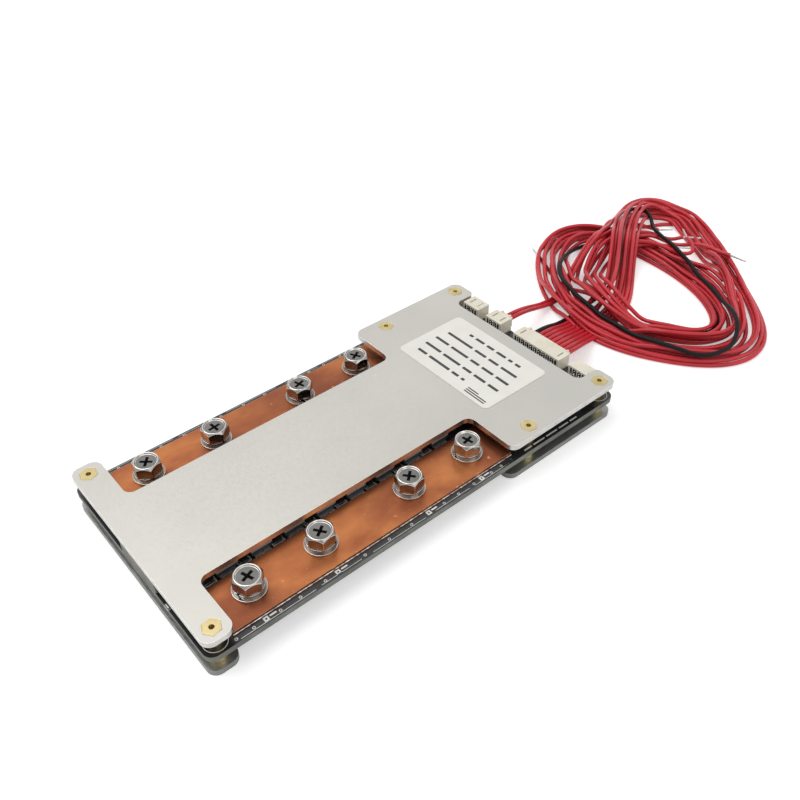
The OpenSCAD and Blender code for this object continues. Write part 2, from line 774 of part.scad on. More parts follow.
// Tube along points, with flat ends that face along X
module tube(points, d, sides = 8) {
    n = len(points);
    rings = [for (i = [0:n - 1])
        ring(points[i], i == 0 || i == n - 1 ? [1, 0, 0] : unit(points[i + 1] - points[i - 1]), d / 2, sides)];
    polyhedron(
        points = [for (r = rings) each r],
        faces = concat(
            [[for (k = [0:sides - 1]) k]],
            [[for (k = [sides - 1:-1:0]) (n - 1) * sides + k]],
            [for (i = [0:n - 2], k = [0:sides - 1]) [i * sides + k, (i + 1) * sides + k,
                (i + 1) * sides + (k + 1) % sides, i * sides + (k + 1) % sides]]
        ));
}

// Wire from a plug's contact, down to the place where it enters the coil
module wire(y, to_x, to_y) {
    from = [end_x + plug_out, y, board_top + contact_z];
    to = [to_x, to_y, entry_z];
    tube([for (s = wire_route) [from.x + s[0] * (to.x - from.x), from.y + s[1] * (to.y - from.y),
        from.z + s[1] * (to.z - from.z)]], wire_d);
}

module sense_wire(i) {
    off = i - 1 - cell_count / 2;
    if (i <= cell_count + 1)
        wire(balance_mid + off * pin_pitch, coil_x, balance_entry_y + off * balance_entry_pitch);
}

module sensor_wire(i) {
    wire(sensor_mid + (i - 1.5) * pin_pitch, coil_step_x, sensor_entry_y + (i - 1.5) * balance_entry_pitch);
}

module sense_wire_1() { color("crimson") sense_wire(1); }
module sense_wire_2() { color("crimson") sense_wire(2); }
module sense_wire_3() { color("crimson") sense_wire(3); }
module sense_wire_4() { color("crimson") sense_wire(4); }
module sense_wire_5() { color("crimson") sense_wire(5); }
module sense_wire_6() { color("crimson") sense_wire(6); }
module sense_wire_7() { color("crimson") sense_wire(7); }
module sense_wire_8() { color("crimson") sense_wire(8); }
module sense_wire_9() { color("black") sense_wire(9); }
module sensor_wire_1() { color("firebrick") sensor_wire(1); }
module sensor_wire_2() { color("firebrick") sensor_wire(2); }

// Outer shape of the loose turns of wire that lie beside the board
module wire_coil() {
    color("indianred") linear_extrude(coil_h) difference() {
        polygon(coil_outline);
        polygon(coil_hole);
    }
}

bottom_heatsink_plate();
lower_spacers();
circuit_board();
upper_standoffs();
top_heatsink_plate();
assembly_screws();
pack_negative_bar();
battery_negative_bar();
flat_washers();
split_washers();
terminal_screws();
terminal_nuts();
upper_transistors();
upper_transistor_metal();
upper_thermal_pads();
lower_transistors();
lower_transistor_metal();
lower_thermal_pads();
gate_resistors();
sense_resistors();
balance_resistors();
balance_transistors();
monitor_chip();
driver_chips();
chip_leads();
end_thermal_pad();
spare_header();
sensor_header();
balance_header();
plain_header();
header_contacts();
sensor_plug();
balance_plug();
label();
sense_wire_1();
sense_wire_2();
sense_wire_3();
sense_wire_4();
sense_wire_5();
sense_wire_6();
sense_wire_7();
sense_wire_8();
sense_wire_9();
sensor_wire_1();
sensor_wire_2();
wire_coil();
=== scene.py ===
"""Battery management board: finishes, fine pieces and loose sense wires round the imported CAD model."""

import json
import math

import bpy
import numpy as np
from mathutils import Matrix, Vector
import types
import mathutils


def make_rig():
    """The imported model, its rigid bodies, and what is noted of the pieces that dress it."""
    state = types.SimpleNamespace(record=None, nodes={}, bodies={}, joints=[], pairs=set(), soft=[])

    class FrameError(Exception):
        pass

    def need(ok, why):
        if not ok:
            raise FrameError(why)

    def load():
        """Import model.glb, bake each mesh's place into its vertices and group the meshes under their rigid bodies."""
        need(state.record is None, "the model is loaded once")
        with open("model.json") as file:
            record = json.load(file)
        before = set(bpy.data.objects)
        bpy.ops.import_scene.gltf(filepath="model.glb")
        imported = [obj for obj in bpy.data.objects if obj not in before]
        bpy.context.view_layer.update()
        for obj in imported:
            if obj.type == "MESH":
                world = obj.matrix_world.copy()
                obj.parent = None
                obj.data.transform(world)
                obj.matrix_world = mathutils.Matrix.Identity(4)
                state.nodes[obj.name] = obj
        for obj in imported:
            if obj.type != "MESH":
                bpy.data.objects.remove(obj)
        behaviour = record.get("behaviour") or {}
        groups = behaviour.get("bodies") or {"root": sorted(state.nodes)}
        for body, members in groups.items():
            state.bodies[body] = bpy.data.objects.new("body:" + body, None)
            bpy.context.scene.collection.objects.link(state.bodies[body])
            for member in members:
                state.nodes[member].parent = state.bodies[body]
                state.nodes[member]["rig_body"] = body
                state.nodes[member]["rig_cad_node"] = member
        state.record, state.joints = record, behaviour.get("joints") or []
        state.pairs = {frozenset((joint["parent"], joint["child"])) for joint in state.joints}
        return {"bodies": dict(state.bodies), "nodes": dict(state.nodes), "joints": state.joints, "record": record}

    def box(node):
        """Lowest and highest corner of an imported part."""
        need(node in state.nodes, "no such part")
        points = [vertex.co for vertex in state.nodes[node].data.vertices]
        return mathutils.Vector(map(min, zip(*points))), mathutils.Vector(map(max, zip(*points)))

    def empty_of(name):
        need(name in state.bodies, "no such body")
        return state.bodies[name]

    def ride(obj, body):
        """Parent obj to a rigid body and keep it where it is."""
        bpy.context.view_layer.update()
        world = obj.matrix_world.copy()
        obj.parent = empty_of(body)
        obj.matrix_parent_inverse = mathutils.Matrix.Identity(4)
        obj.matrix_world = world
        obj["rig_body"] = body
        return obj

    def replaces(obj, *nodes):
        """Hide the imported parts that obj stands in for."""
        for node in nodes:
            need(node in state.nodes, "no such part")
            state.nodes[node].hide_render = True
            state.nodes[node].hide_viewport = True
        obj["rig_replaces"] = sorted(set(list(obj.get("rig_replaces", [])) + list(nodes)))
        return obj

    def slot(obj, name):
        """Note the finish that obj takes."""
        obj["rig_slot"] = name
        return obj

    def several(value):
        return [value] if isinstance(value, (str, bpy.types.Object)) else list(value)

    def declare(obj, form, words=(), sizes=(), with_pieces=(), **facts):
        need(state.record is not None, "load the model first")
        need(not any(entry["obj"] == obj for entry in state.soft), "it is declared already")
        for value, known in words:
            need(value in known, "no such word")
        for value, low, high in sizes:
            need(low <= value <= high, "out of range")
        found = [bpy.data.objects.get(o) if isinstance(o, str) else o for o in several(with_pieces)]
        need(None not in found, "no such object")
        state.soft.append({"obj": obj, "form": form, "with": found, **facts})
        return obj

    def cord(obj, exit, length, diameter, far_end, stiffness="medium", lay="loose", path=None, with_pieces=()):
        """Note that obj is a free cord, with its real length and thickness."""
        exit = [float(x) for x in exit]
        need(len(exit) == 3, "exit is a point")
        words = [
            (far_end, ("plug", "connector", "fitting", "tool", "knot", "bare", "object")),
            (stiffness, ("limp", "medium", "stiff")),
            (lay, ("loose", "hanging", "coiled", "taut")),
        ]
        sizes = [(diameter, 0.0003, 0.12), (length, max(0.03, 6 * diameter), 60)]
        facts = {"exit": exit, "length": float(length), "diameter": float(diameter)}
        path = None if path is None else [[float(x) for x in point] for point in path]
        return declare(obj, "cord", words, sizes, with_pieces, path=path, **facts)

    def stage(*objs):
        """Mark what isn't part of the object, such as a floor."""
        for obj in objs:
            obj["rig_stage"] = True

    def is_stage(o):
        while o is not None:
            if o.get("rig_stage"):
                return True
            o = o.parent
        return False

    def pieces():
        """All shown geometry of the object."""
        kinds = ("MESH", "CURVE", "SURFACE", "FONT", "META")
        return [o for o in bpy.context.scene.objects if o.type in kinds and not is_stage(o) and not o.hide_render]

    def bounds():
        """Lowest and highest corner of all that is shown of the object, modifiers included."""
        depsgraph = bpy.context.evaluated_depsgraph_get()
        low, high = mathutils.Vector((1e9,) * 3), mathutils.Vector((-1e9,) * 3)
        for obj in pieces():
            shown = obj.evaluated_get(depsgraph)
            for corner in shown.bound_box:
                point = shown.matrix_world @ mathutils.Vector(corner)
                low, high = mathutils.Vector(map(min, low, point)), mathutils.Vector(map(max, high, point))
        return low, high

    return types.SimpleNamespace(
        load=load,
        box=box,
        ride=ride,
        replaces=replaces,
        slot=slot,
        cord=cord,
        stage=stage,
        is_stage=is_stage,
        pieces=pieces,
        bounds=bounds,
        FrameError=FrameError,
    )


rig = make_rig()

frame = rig.load()
cad_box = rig.bounds()

MM = 0.001


def mm(value):
    """A length or a point in millimetres, in metres."""
    return value * MM if isinstance(value, (int, float)) else tuple(v * MM for v in value)


# --- places taken from the frame, in metres ---

board_low, board_high = map(Vector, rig.box("circuit_board"))
front_bar_low, front_bar_high = map(Vector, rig.box("pack_negative_bar"))
back_bar_low, back_bar_high = map(Vector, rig.box("battery_negative_bar"))
label_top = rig.box("label")[1][2]

# --- camera, lamps, floor ---

camera_place, camera_target = (-121.7, -166.4, 201.7), (17.8, 0.5, 14.6)
camera_lens, camera_roll = 39.1, -0.54
light_from_world, white_background = 0.5, 1.0
floor_white, floor_glow = 0.85, 0.4


def add_camera():
    """Camera above the plain end's front corner, nearly level."""
    place, target = Vector(mm(camera_place)), Vector(mm(camera_target))
    data = bpy.data.cameras.new("camera")
    data.sensor_width = 36
    data.lens = camera_lens
    data.clip_start, data.clip_end = 0.01, 10
    camera = bpy.data.objects.new("camera", data)
    bpy.context.scene.collection.objects.link(camera)
    look = (target - place).to_track_quat("-Z", "Y").to_matrix().to_4x4()
    roll = Matrix.Rotation(math.radians(camera_roll), 4, "Z")
    camera.matrix_world = Matrix.Translation(place) @ look @ roll
    bpy.context.scene.camera = camera


def add_lamp(name, towards, spread, strength):
    """A lamp far away in one direction, wide enough for soft shadows."""
    data = bpy.data.lights.new(name, "SUN")
    data.angle, data.energy = math.radians(spread), strength
    lamp = bpy.data.objects.new(name, data)
    bpy.context.scene.collection.objects.link(lamp)
    lamp.rotation_euler = Vector(towards).to_track_quat("Z", "Y").to_euler()


def seen_directly(tree):
    """1 for what the camera sees, also in metal and through glass; 0 for light."""
    path = tree.nodes.new("ShaderNodeLightPath")
    camera_or_glossy = tree.nodes.new("ShaderNodeMath")
    camera_or_glossy.operation = "MAXIMUM"
    tree.links.new(path.outputs["Is Camera Ray"], camera_or_glossy.inputs[0])
    tree.links.new(path.outputs["Is Glossy Ray"], camera_or_glossy.inputs[1])
    any_view = tree.nodes.new("ShaderNodeMath")
    any_view.operation = "MAXIMUM"
    tree.links.new(camera_or_glossy.outputs[0], any_view.inputs[0])
    tree.links.new(path.outputs["Is Transmission Ray"], any_view.inputs[1])
    return any_view.outputs[0]


def set_world():
    """Soft light from all round, and a white background."""
    world = bpy.data.worlds.new("studio")
    bpy.context.scene.world = world
    world.use_nodes = True
    tree = world.node_tree
    background = tree.nodes["Background"]
    background.inputs["Color"].default_value = (1, 1, 1, 1)
    strength = tree.nodes.new("ShaderNodeMapRange")
    strength.inputs["To Min"].default_value = light_from_world
    strength.inputs["To Max"].default_value = white_background
    tree.links.new(seen_directly(tree), strength.inputs["Value"])
    tree.links.new(strength.outputs["Result"], background.inputs["Strength"])


def add_floor():
    """A plain pale floor just under everything, which glows a little where the camera sees it."""
    bpy.ops.object.select_all(action="DESELECT")
    bpy.ops.mesh.primitive_plane_add(size=6, location=(0, 0, 0))
    floor = bpy.context.object
    floor.name = "floor"
    floor.data.transform(Matrix.Translation((0, 0, mm(-0.05))))
    material = bpy.data.materials.new("white_floor")
    material.use_nodes = True
    tree = material.node_tree
    shader = tree.nodes["Principled BSDF"]
    shader.inputs["Base Color"].default_value = (floor_white, floor_white, floor_white, 1)
    shader.inputs["Roughness"].default_value = 0.9
    shader.inputs["Specular IOR Level"].default_value = 0.0
    shader.inputs["Emission Color"].default_value = (1, 1, 1, 1)
    glow = tree.nodes.new("ShaderNodeMath")
    glow.operation = "MULTIPLY"
    glow.inputs[1].default_value = floor_glow
    tree.links.new(seen_directly(tree), glow.inputs[0])
    tree.links.new(glow.outputs[0], shader.inputs["Emission Strength"])
    floor.data.materials.append(material)
    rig.stage(floor)


bpy.context.scene.view_settings.view_transform = "Standard"
add_camera()
set_world()
add_floor()
add_lamp("key", (-0.3, 0.35, 0.9), 50, 1.2)
add_lamp("fill", (0.1, -0.75, 0.8), 40, 0.55)

# --- finishes ---


def rgb(red, green, blue):
    """A colour as it is seen, from 0 to 255, in the shader's own scale."""
    shades = [c / 255 for c in (red, green, blue)]
    return tuple(((c + 0.055) / 1.055) ** 2.4 if c > 10 / 255 else c / 12.92 for c in shades)


class Finish:
    """A shader whose colour, roughness and relief come from patterns on the piece itself."""

    def __init__(self, name, roughness, metallic=0.0, **sockets):
        self.material = bpy.data.materials.new(name)
        self.material.use_nodes = True
        self.tree = self.material.node_tree
        self.shader = self.tree.nodes["Principled BSDF"]
        self.shader.inputs["Metallic"].default_value = metallic
        self.shader.inputs["Roughness"].default_value = roughness
        for socket, value in sockets.items():
            self.shader.inputs[socket.replace("_", " ")].default_value = value
        self.place = self.tree.nodes.new("ShaderNodeTexCoord").outputs["Object"]
        self.relief = None

    def pattern(self, scale, stretch=(1, 1, 1), turn=0.0, detail=3, low=0.3, high=0.7):
        """Noise from 0 to 1, about so many spots a metre, pulled long and turned about Z."""
        mapping = self.tree.nodes.new("ShaderNodeMapping")
        mapping.inputs["Rotation"].default_value = (0, 0, math.radians(turn))
        mapping.inputs["Scale"].default_value = stretch
        self.tree.links.new(self.place, mapping.inputs["Vector"])
        noise = self.tree.nodes.new("ShaderNodeTexNoise")
        noise.inputs["Scale"].default_value = scale
        noise.inputs["Detail"].default_value = detail
        self.tree.links.new(mapping.outputs["Vector"], noise.inputs["Vector"])
        spread = self.tree.nodes.new("ShaderNodeMapRange")
        spread.inputs["From Min"].default_value = low
        spread.inputs["From Max"].default_value = high
        self.tree.links.new(noise.outputs["Fac"], spread.inputs["Value"])
        return spread.outputs["Result"]

    def mixed(self, amount, first, second):
        """Two colours, fixed ones or mixed ones, blended by an amount."""
        mix = self.tree.nodes.new("ShaderNodeMix")
        mix.data_type = "RGBA"
        self.tree.links.new(amount, mix.inputs["Factor"])
        for socket, colour in ((mix.inputs[6], first), (mix.inputs[7], second)):
            if isinstance(colour, tuple):
                socket.default_value = (*colour, 1)
            else:
                self.tree.links.new(colour, socket)
        return mix.outputs[2]

    def colour(self, source):
        self.tree.links.new(source, self.shader.inputs["Base Color"])
        return self

    def roughness(self, amount, smooth, rough):
        """Roughness between two values, by an amount."""
        spread = self.tree.nodes.new("ShaderNodeMapRange")
        spread.inputs["To Min"].default_value = smooth
        spread.inputs["To Max"].default_value = rough
        self.tree.links.new(amount, spread.inputs["Value"])
        self.tree.links.new(spread.outputs["Result"], self.shader.inputs["Roughness"])
        return self

    def bump(self, amount, depth):
        """Relief so many millimetres deep, on top of any put on before."""
        bump = self.tree.nodes.new("ShaderNodeBump")
        bump.inputs["Distance"].default_value = mm(depth)
        self.tree.links.new(amount, bump.inputs["Height"])
        if self.relief:
            self.tree.links.new(self.relief, bump.inputs["Normal"])
        self.relief = bump.outputs["Normal"]
        self.tree.links.new(self.relief, self.shader.inputs["Normal"])
        return self


def satin_aluminium(name, pale, shaded):
    """Fine-grained sheet with faint blotches and a few hair scratches."""
    sheet = Finish(name, 0.4, 0.85, Specular_IOR_Level=0.5)
    grain = sheet.pattern(1500, (1, 0.35, 1), 20, detail=2)
    clouds = sheet.pattern(22, detail=3)
    hairs = sheet.pattern(60, (1, 22, 1), 33, detail=1, low=0.77, high=0.8)
    nicks = sheet.pattern(75, (14, 1, 1), 65, detail=1, low=0.79, high=0.82)
    ground = sheet.mixed(clouds, pale, shaded)
    marked = sheet.mixed(hairs, ground, rgb(186, 183, 177))
    sheet.colour(sheet.mixed(nicks, marked, rgb(238, 236, 230)))
    return sheet.roughness(grain, 0.34, 0.5).bump(grain, 0.004).bump(hairs, 0.006).material


def mottled_copper(name):
    """Rolled copper bar: warm blotches, darker tarnish and a fine grain along its length."""
    bar = Finish(name, 0.35, 0.9)
    grain = bar.pattern(500, (0.06, 1, 1), 0, detail=3)
    blotches = bar.pattern(85, (0.8, 1.3, 1), 15, detail=5, low=0.36, high=0.66)
    tarnish = bar.pattern(26, (1, 1.5, 1), -20, detail=6, low=0.45, high=0.66)
    spots = bar.pattern(420, detail=2, low=0.68, high=0.78)
    warm = bar.mixed(blotches, rgb(196, 124, 76), rgb(158, 92, 60))
    aged = bar.mixed(tarnish, warm, rgb(136, 78, 56))
    bar.colour(bar.mixed(spots, aged, rgb(208, 146, 104)))
    return bar.roughness(blotches, 0.3, 0.46).bump(grain, 0.006).bump(blotches, 0.01).material


def plated(name, light, dark, smooth, rough, spots=260):
    """Plated or turned metal with a thin film that varies in tone."""
    metal = Finish(name, smooth, 1.0)
    film = metal.pattern(spots, detail=4)
    fine = metal.pattern(1800, detail=2)
    metal.colour(metal.mixed(film, light, dark))
    return metal.roughness(film, smooth, rough).bump(fine, 0.002).material


def moulded(name, light, dark, smooth, rough, grain=1400, depth=0.006, **sockets):
    """Moulded or pressed stuff with a fine grain and a slight change of tone."""
    stuff = Finish(name, rough, 0.0, **sockets)
    tone = stuff.pattern(140, detail=4)
    fine = stuff.pattern(grain, detail=3)
    stuff.colour(stuff.mixed(tone, light, dark))
    return stuff.roughness(fine, smooth, rough).bump(fine, depth).material


def board_mask(name):
    """Black solder mask over copper areas: glossy, with a faint weave and cloudy sheen."""
    mask = Finish(name, 0.3, 0.0, Coat_Weight=0.25, Coat_Roughness=0.18)
    clouds = mask.pattern(70, detail=3)
    weave = mask.pattern(900, (1, 0.5, 1), detail=1)
    pours = mask.pattern(210, (1, 0.25, 1), detail=0, low=0.49, high=0.52)
    deep = mask.mixed(clouds, rgb(27, 27, 30), rgb(20, 20, 23))
    mask.colour(mask.mixed(pours, deep, rgb(34, 34, 38)))
    return mask.roughness(clouds, 0.26, 0.4).bump(pours, 0.02).bump(weave, 0.004).material


def wire_jacket(name, light, dark, smooth, rough, sheen):
    """Soft PVC: an even colour that pales where it has been handled."""
    jacket = Finish(name, rough, 0.0, Specular_IOR_Level=sheen, Subsurface_Weight=0.04,
                    Subsurface_Scale=0.001)
    handled = jacket.pattern(75, detail=4)
    fine = jacket.pattern(1500, detail=2)
    jacket.colour(jacket.mixed(handled, light, dark))
    return jacket.roughness(handled, smooth, rough).bump(fine, 0.004).material


aluminium = satin_aluminium("satin_aluminium", rgb(203, 200, 193), rgb(193, 191, 185))
aluminium_edge = plated("milled_aluminium_edge", rgb(204, 202, 198), rgb(180, 178, 174), 0.24, 0.36, 400)
# Painted highlight for the upper plate's broken edges
aluminium_painted_highlight = plated("aluminium_edge_painted_highlight", rgb(240, 238, 234), rgb(224, 222, 218), 0.2, 0.32, 400)
# The lower plate is the same aluminium as the upper one, painted darker on its top and its cut edge for the shade it
# lies in
lower_aluminium_painted_shade = satin_aluminium("lower_aluminium_painted_shade", rgb(168, 168, 164), rgb(150, 150, 147))
lower_edge_painted_shade = moulded("lower_aluminium_edge_painted_shade", rgb(142, 143, 139), rgb(120, 121, 118), 0.4, 0.55, 900, 0.01)
copper = mottled_copper("mottled_copper")
# Painted highlight for the copper bars' broken edges
copper_painted_highlight = plated("copper_edge_painted_highlight", rgb(232, 186, 146), rgb(206, 150, 108), 0.24, 0.36, 300)
brass = plated("brass", rgb(214, 199, 150), rgb(190, 172, 122), 0.28, 0.42)
nickel = plated("nickel_steel", rgb(166, 162, 157), rgb(112, 108, 104), 0.1, 0.2, 220)
# Painted highlight for the broken edges and rims of screw heads and washers
nickel_painted_highlight = plated("nickel_rim_painted_highlight", rgb(236, 233, 228), rgb(206, 203, 198), 0.14, 0.24, 500)
nickel_face = moulded("dull_nickel", rgb(128, 127, 124), rgb(104, 103, 100), 0.3, 0.45, 1200, 0.01)
# Painted shade for the deep cross recess of each screw head
nickel_recess_painted_shade = moulded("nickel_recess_painted_shade", rgb(44, 43, 42), rgb(26, 26, 26), 0.6, 0.75, 1200, 0.01,
                        Specular_IOR_Level=0.1)
steel = plated("plated_steel", rgb(164, 161, 157), rgb(122, 119, 115), 0.14, 0.26, 180)
tinned = plated("tinned_metal", rgb(214, 213, 210), rgb(176, 176, 175), 0.22, 0.42, 700)
mask = board_mask("solder_mask")
core = moulded("board_core", rgb(126, 128, 120), rgb(96, 98, 92), 0.6, 0.8, 900, 0.02)
epoxy = moulded("epoxy", rgb(44, 44, 47), rgb(34, 34, 37), 0.45, 0.6, 1600, 0.01)
ceramic = moulded("resistor", rgb(38, 38, 42), rgb(28, 28, 31), 0.3, 0.45, 900, 0.006)
silicone = moulded("silicone_pad", rgb(150, 152, 152), rgb(128, 130, 131), 0.7, 0.85, 700, 0.02)
end_silicone = moulded("end_pad", rgb(134, 134, 122), rgb(112, 112, 101), 0.7, 0.85, 500, 0.03)
nylon = moulded("nylon", rgb(233, 228, 212), rgb(221, 214, 195), 0.36, 0.52, 1000, 0.006,
                Subsurface_Weight=0.12, Subsurface_Scale=0.001)
film = moulded("label_film", rgb(236, 234, 227), rgb(229, 227, 220), 0.32, 0.42, 1300, 0.003)
print_ink = moulded("print_ink", rgb(62, 63, 66), rgb(46, 47, 50), 0.4, 0.6, 1500, 0.002)
silkscreen = moulded("silkscreen_ink", rgb(228, 228, 224), rgb(205, 205, 201), 0.5, 0.7, 1500, 0.004)
red_pvc = wire_jacket("red_wire", rgb(206, 47, 58), rgb(182, 35, 46), 0.3, 0.44, 0.4)
black_pvc = wire_jacket("black_wire", rgb(24, 24, 27), rgb(16, 16, 18), 0.38, 0.52, 0.15)

# --- making pieces ---


def deselect():
    bpy.ops.object.select_all(action="DESELECT")


def only(piece):
    deselect()
    piece.select_set(True)
    bpy.context.view_layer.objects.active = piece


def apply(piece, kind, **settings):
    """Adds a modifier to the piece and applies it."""
    only(piece)
    modifier = piece.modifiers.new(kind.lower(), kind)
    for name, value in settings.items():
        setattr(modifier, name, value)
    bpy.ops.object.modifier_apply(modifier=modifier.name)


def smooth(piece, angle=35):
    only(piece)
    bpy.ops.object.shade_smooth_by_angle(angle=math.radians(angle))


def even_shading(piece):
    """Smooth shading that leaves flat faces flat beside their broken edges."""
    smooth(piece, 32)
    apply(piece, "WEIGHTED_NORMAL", keep_sharp=True, weight=100)


def settle(piece):
    """Puts a piece's place into its mesh and leaves the object at the origin."""
    only(piece)
    bpy.ops.object.transform_apply(location=True, rotation=True, scale=True)


def joined(pieces):
    """Two or more pieces as one."""
    deselect()
    for piece in pieces:
        piece.select_set(True)
    bpy.context.view_layer.objects.active = pieces[0]
    bpy.ops.object.join()
    return pieces[0]


def finished(piece, name, material, slot):
    """Names the piece, lets it ride on the board and gives it its finish."""
    piece.name = piece.data.name = name
    if not piece.data.materials:
        piece.data.materials.append(material)
    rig.ride(piece, "root")
    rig.slot(piece, slot)
    return piece


def eased(node, name, width, material, slot, segments=2, angle=30, cut=None, edge=None):
    """The node's own shape with its sharp edges broken. It stands for the node.

    Faces that look sideways can have a finish of their own, as a sheet's cut edge has, and
    so can the broken edges, which take a painted highlight for the light that metal edges catch.
    """
    source = frame["nodes"][node]
    piece = bpy.data.objects.new(name, source.data.copy())
    bpy.context.scene.collection.objects.link(piece)
    piece.data.materials.clear()
    piece.data.materials.append(material)
    only(piece)
    bpy.ops.object.mode_set(mode="EDIT")
    bpy.ops.mesh.select_all(action="SELECT")
    bpy.ops.mesh.remove_doubles(threshold=mm(0.002))
    bpy.ops.mesh.dissolve_limited(angle_limit=math.radians(1))
    bpy.ops.object.mode_set(mode="OBJECT")
    if cut:
        piece.data.materials.append(cut)
        for face in piece.data.polygons:
            face.material_index = int(abs(face.normal.z) < 0.3)
    if edge:
        piece.data.materials.append(edge)
    apply(piece, "BEVEL", width=mm(width), segments=segments, limit_method="ANGLE",
          angle_limit=math.radians(angle), harden_normals=False, use_clamp_overlap=True,
          miter_outer="MITER_ARC", material=len(piece.data.materials) - 1 if edge else -1)
    even_shading(piece)
    finished(piece, name, material, slot)
    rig.replaces(piece, node)
    return piece


def lumps(node):
    """Lowest and highest corner of each separate solid in a node."""
    data = frame["nodes"][node].data
    corners = np.array([v.co for v in data.vertices])
    _, same = np.unique(np.round(corners / mm(0.002)).astype(int), axis=0, return_inverse=True)
    same = same.ravel()
    group = np.arange(same.max() + 1)
    ends = same[np.array([e.vertices for e in data.edges])]
    while True:
        low = np.minimum(group[ends[:, 0]], group[ends[:, 1]])
        new = group.copy()
        np.minimum.at(new, ends[:, 0], low)
        np.minimum.at(new, ends[:, 1], low)
        if (new == group).all():
            break
        group = new
    owner = group[same]
    return [(Vector(corners[owner == g].min(axis=0)), Vector(corners[owner == g].max(axis=0)))
            for g in np.unique(owner)]


def repeated(model, places, name, material, slot):
    """The model copied to every place (a point and a turn about Z), as one piece."""
    copies = []
    for place, turn in places:
        copy = bpy.data.objects.new(name, model.data.copy())
        bpy.context.scene.collection.objects.link(copy)
        copy.data.transform(Matrix.Translation(place) @ Matrix.Rotation(turn, 4, "Z"))
        copies.append(copy)
    bpy.data.objects.remove(model)
    deselect()
    for copy in copies:
        copy.select_set(True)
    bpy.context.view_layer.objects.active = copies[0]
    if len(copies) > 1:
        bpy.ops.object.join()
    return finished(copies[0], name, material, slot)


def sheet_shape(size):
    """A flat rectangle on z 0."""
    deselect()
    bpy.ops.mesh.primitive_plane_add(size=1, location=(0, 0, 0))
    sheet = bpy.context.object
    sheet.scale = (mm(size[0]), mm(size[1]), 1)
    settle(sheet)
    return sheet


def pulled_up(piece, height, line=None):
    """A flat face made a solid, or, where a line's width is given, a solid outline."""
    only(piece)
    bpy.ops.object.mode_set(mode="EDIT")
    bpy.ops.mesh.select_all(action="SELECT")
    if line:
        bpy.ops.mesh.inset(thickness=mm(line))
        bpy.ops.mesh.delete(type="FACE")
        bpy.ops.mesh.select_all(action="SELECT")
    bpy.ops.mesh.extrude_region_move(TRANSFORM_OT_translate={"value": (0, 0, mm(height))})
    bpy.ops.mesh.select_all(action="SELECT")
    bpy.ops.mesh.normals_make_consistent(inside=False)
    bpy.ops.object.mode_set(mode="OBJECT")
    return piece


def pad_shape(size, height, corner):
    """A thin raised pad on z 0, with rounded corners."""
    pad = sheet_shape(size)
    apply(pad, "BEVEL", width=mm(corner), segments=3, affect="VERTICES")
    return pulled_up(pad, height)


def ring_shape(outer, inner, height, sides=20):
    """A thin raised ring on z 0, or a square outline where it has four sides."""
    deselect()
    bpy.ops.mesh.primitive_circle_add(vertices=sides, radius=mm(outer), fill_type="NGON")
    return pulled_up(bpy.context.object, height, outer - inner)


def block_shape(size, edge):
    """A small block round the origin, in metres, with broken edges."""
    deselect()
    bpy.ops.mesh.primitive_cube_add(size=1, location=(0, 0, 0))
    block = bpy.context.object
    block.scale = size
    settle(block)
    apply(block, "BEVEL", width=mm(edge), segments=1)
    return block


def line_curve(name, radius, roundness):
    """An empty round curve, to be given its points."""
    data = bpy.data.curves.new(name, "CURVE")
    data.dimensions = "3D"
    data.bevel_depth = mm(radius)
    data.bevel_resolution = roundness
    piece = bpy.data.objects.new(name, data)
    bpy.context.scene.collection.objects.link(piece)
    return piece


# --- plates, board, bars and fasteners ---

# The bright finish on the broken edges of the upper plate and the bars is painted highlight
eased("top_heatsink_plate", "upper_plate", 0.24, aluminium, "satin_aluminium", 3, cut=aluminium_edge,
      edge=aluminium_painted_highlight)
# The lower plate's darker aluminium and edge are painted shade
eased("bottom_heatsink_plate", "lower_plate", 0.22, lower_aluminium_painted_shade, "satin_aluminium", 3, cut=lower_edge_painted_shade)
eased("circuit_board", "board", 0.08, mask, "solder_mask", 1, cut=core)
eased("pack_negative_bar", "front_bar", 0.2, copper, "copper", edge=copper_painted_highlight)
eased("battery_negative_bar", "back_bar", 0.2, copper, "copper", edge=copper_painted_highlight)
eased("upper_standoffs", "standoffs", 0.08, brass, "brass")
eased("lower_spacers", "spacers", 0.12, brass, "brass")
eased("assembly_screws", "countersunk_screws", 0.05, steel, "plated_steel")
eased("terminal_nuts", "hex_nuts", 0.15, nickel, "nickel_steel")
# The washers' broken edges take a painted highlight
eased("flat_washers", "washers", 0.12, steel, "plated_steel", edge=nickel_painted_highlight)
eased("split_washers", "spring_washers", 0.14, steel, "plated_steel", edge=nickel_painted_highlight)


def boolean(piece, tool, operation):
    """Cuts or keeps the piece with a tool, which is used up."""
    apply(piece, "BOOLEAN", object=tool, operation=operation, solver="EXACT")
    bpy.data.objects.remove(tool)


def turned_blank(profile):
    """A solid of revolution: the profile's points (radius, height) spun round Z."""
    deselect()
    bpy.ops.mesh.primitive_circle_add(vertices=len(profile), radius=1, fill_type="NOTHING")
    blank = bpy.context.object
    for vertex, (radius, height) in zip(blank.data.vertices, profile):
        vertex.co = (mm(radius), 0, mm(height))
    bpy.ops.object.mode_set(mode="EDIT")
    bpy.ops.mesh.select_all(action="SELECT")
    bpy.ops.mesh.spin(steps=48, angle=2 * math.pi, center=(0, 0, 0), axis=(0, 0, 1), dupli=False)
    bpy.ops.mesh.select_all(action="SELECT")
    bpy.ops.mesh.remove_doubles(threshold=mm(0.005))
    bpy.ops.mesh.select_all(action="SELECT")
    bpy.ops.mesh.normals_make_consistent(inside=False)
    bpy.ops.object.mode_set(mode="OBJECT")
    return blank


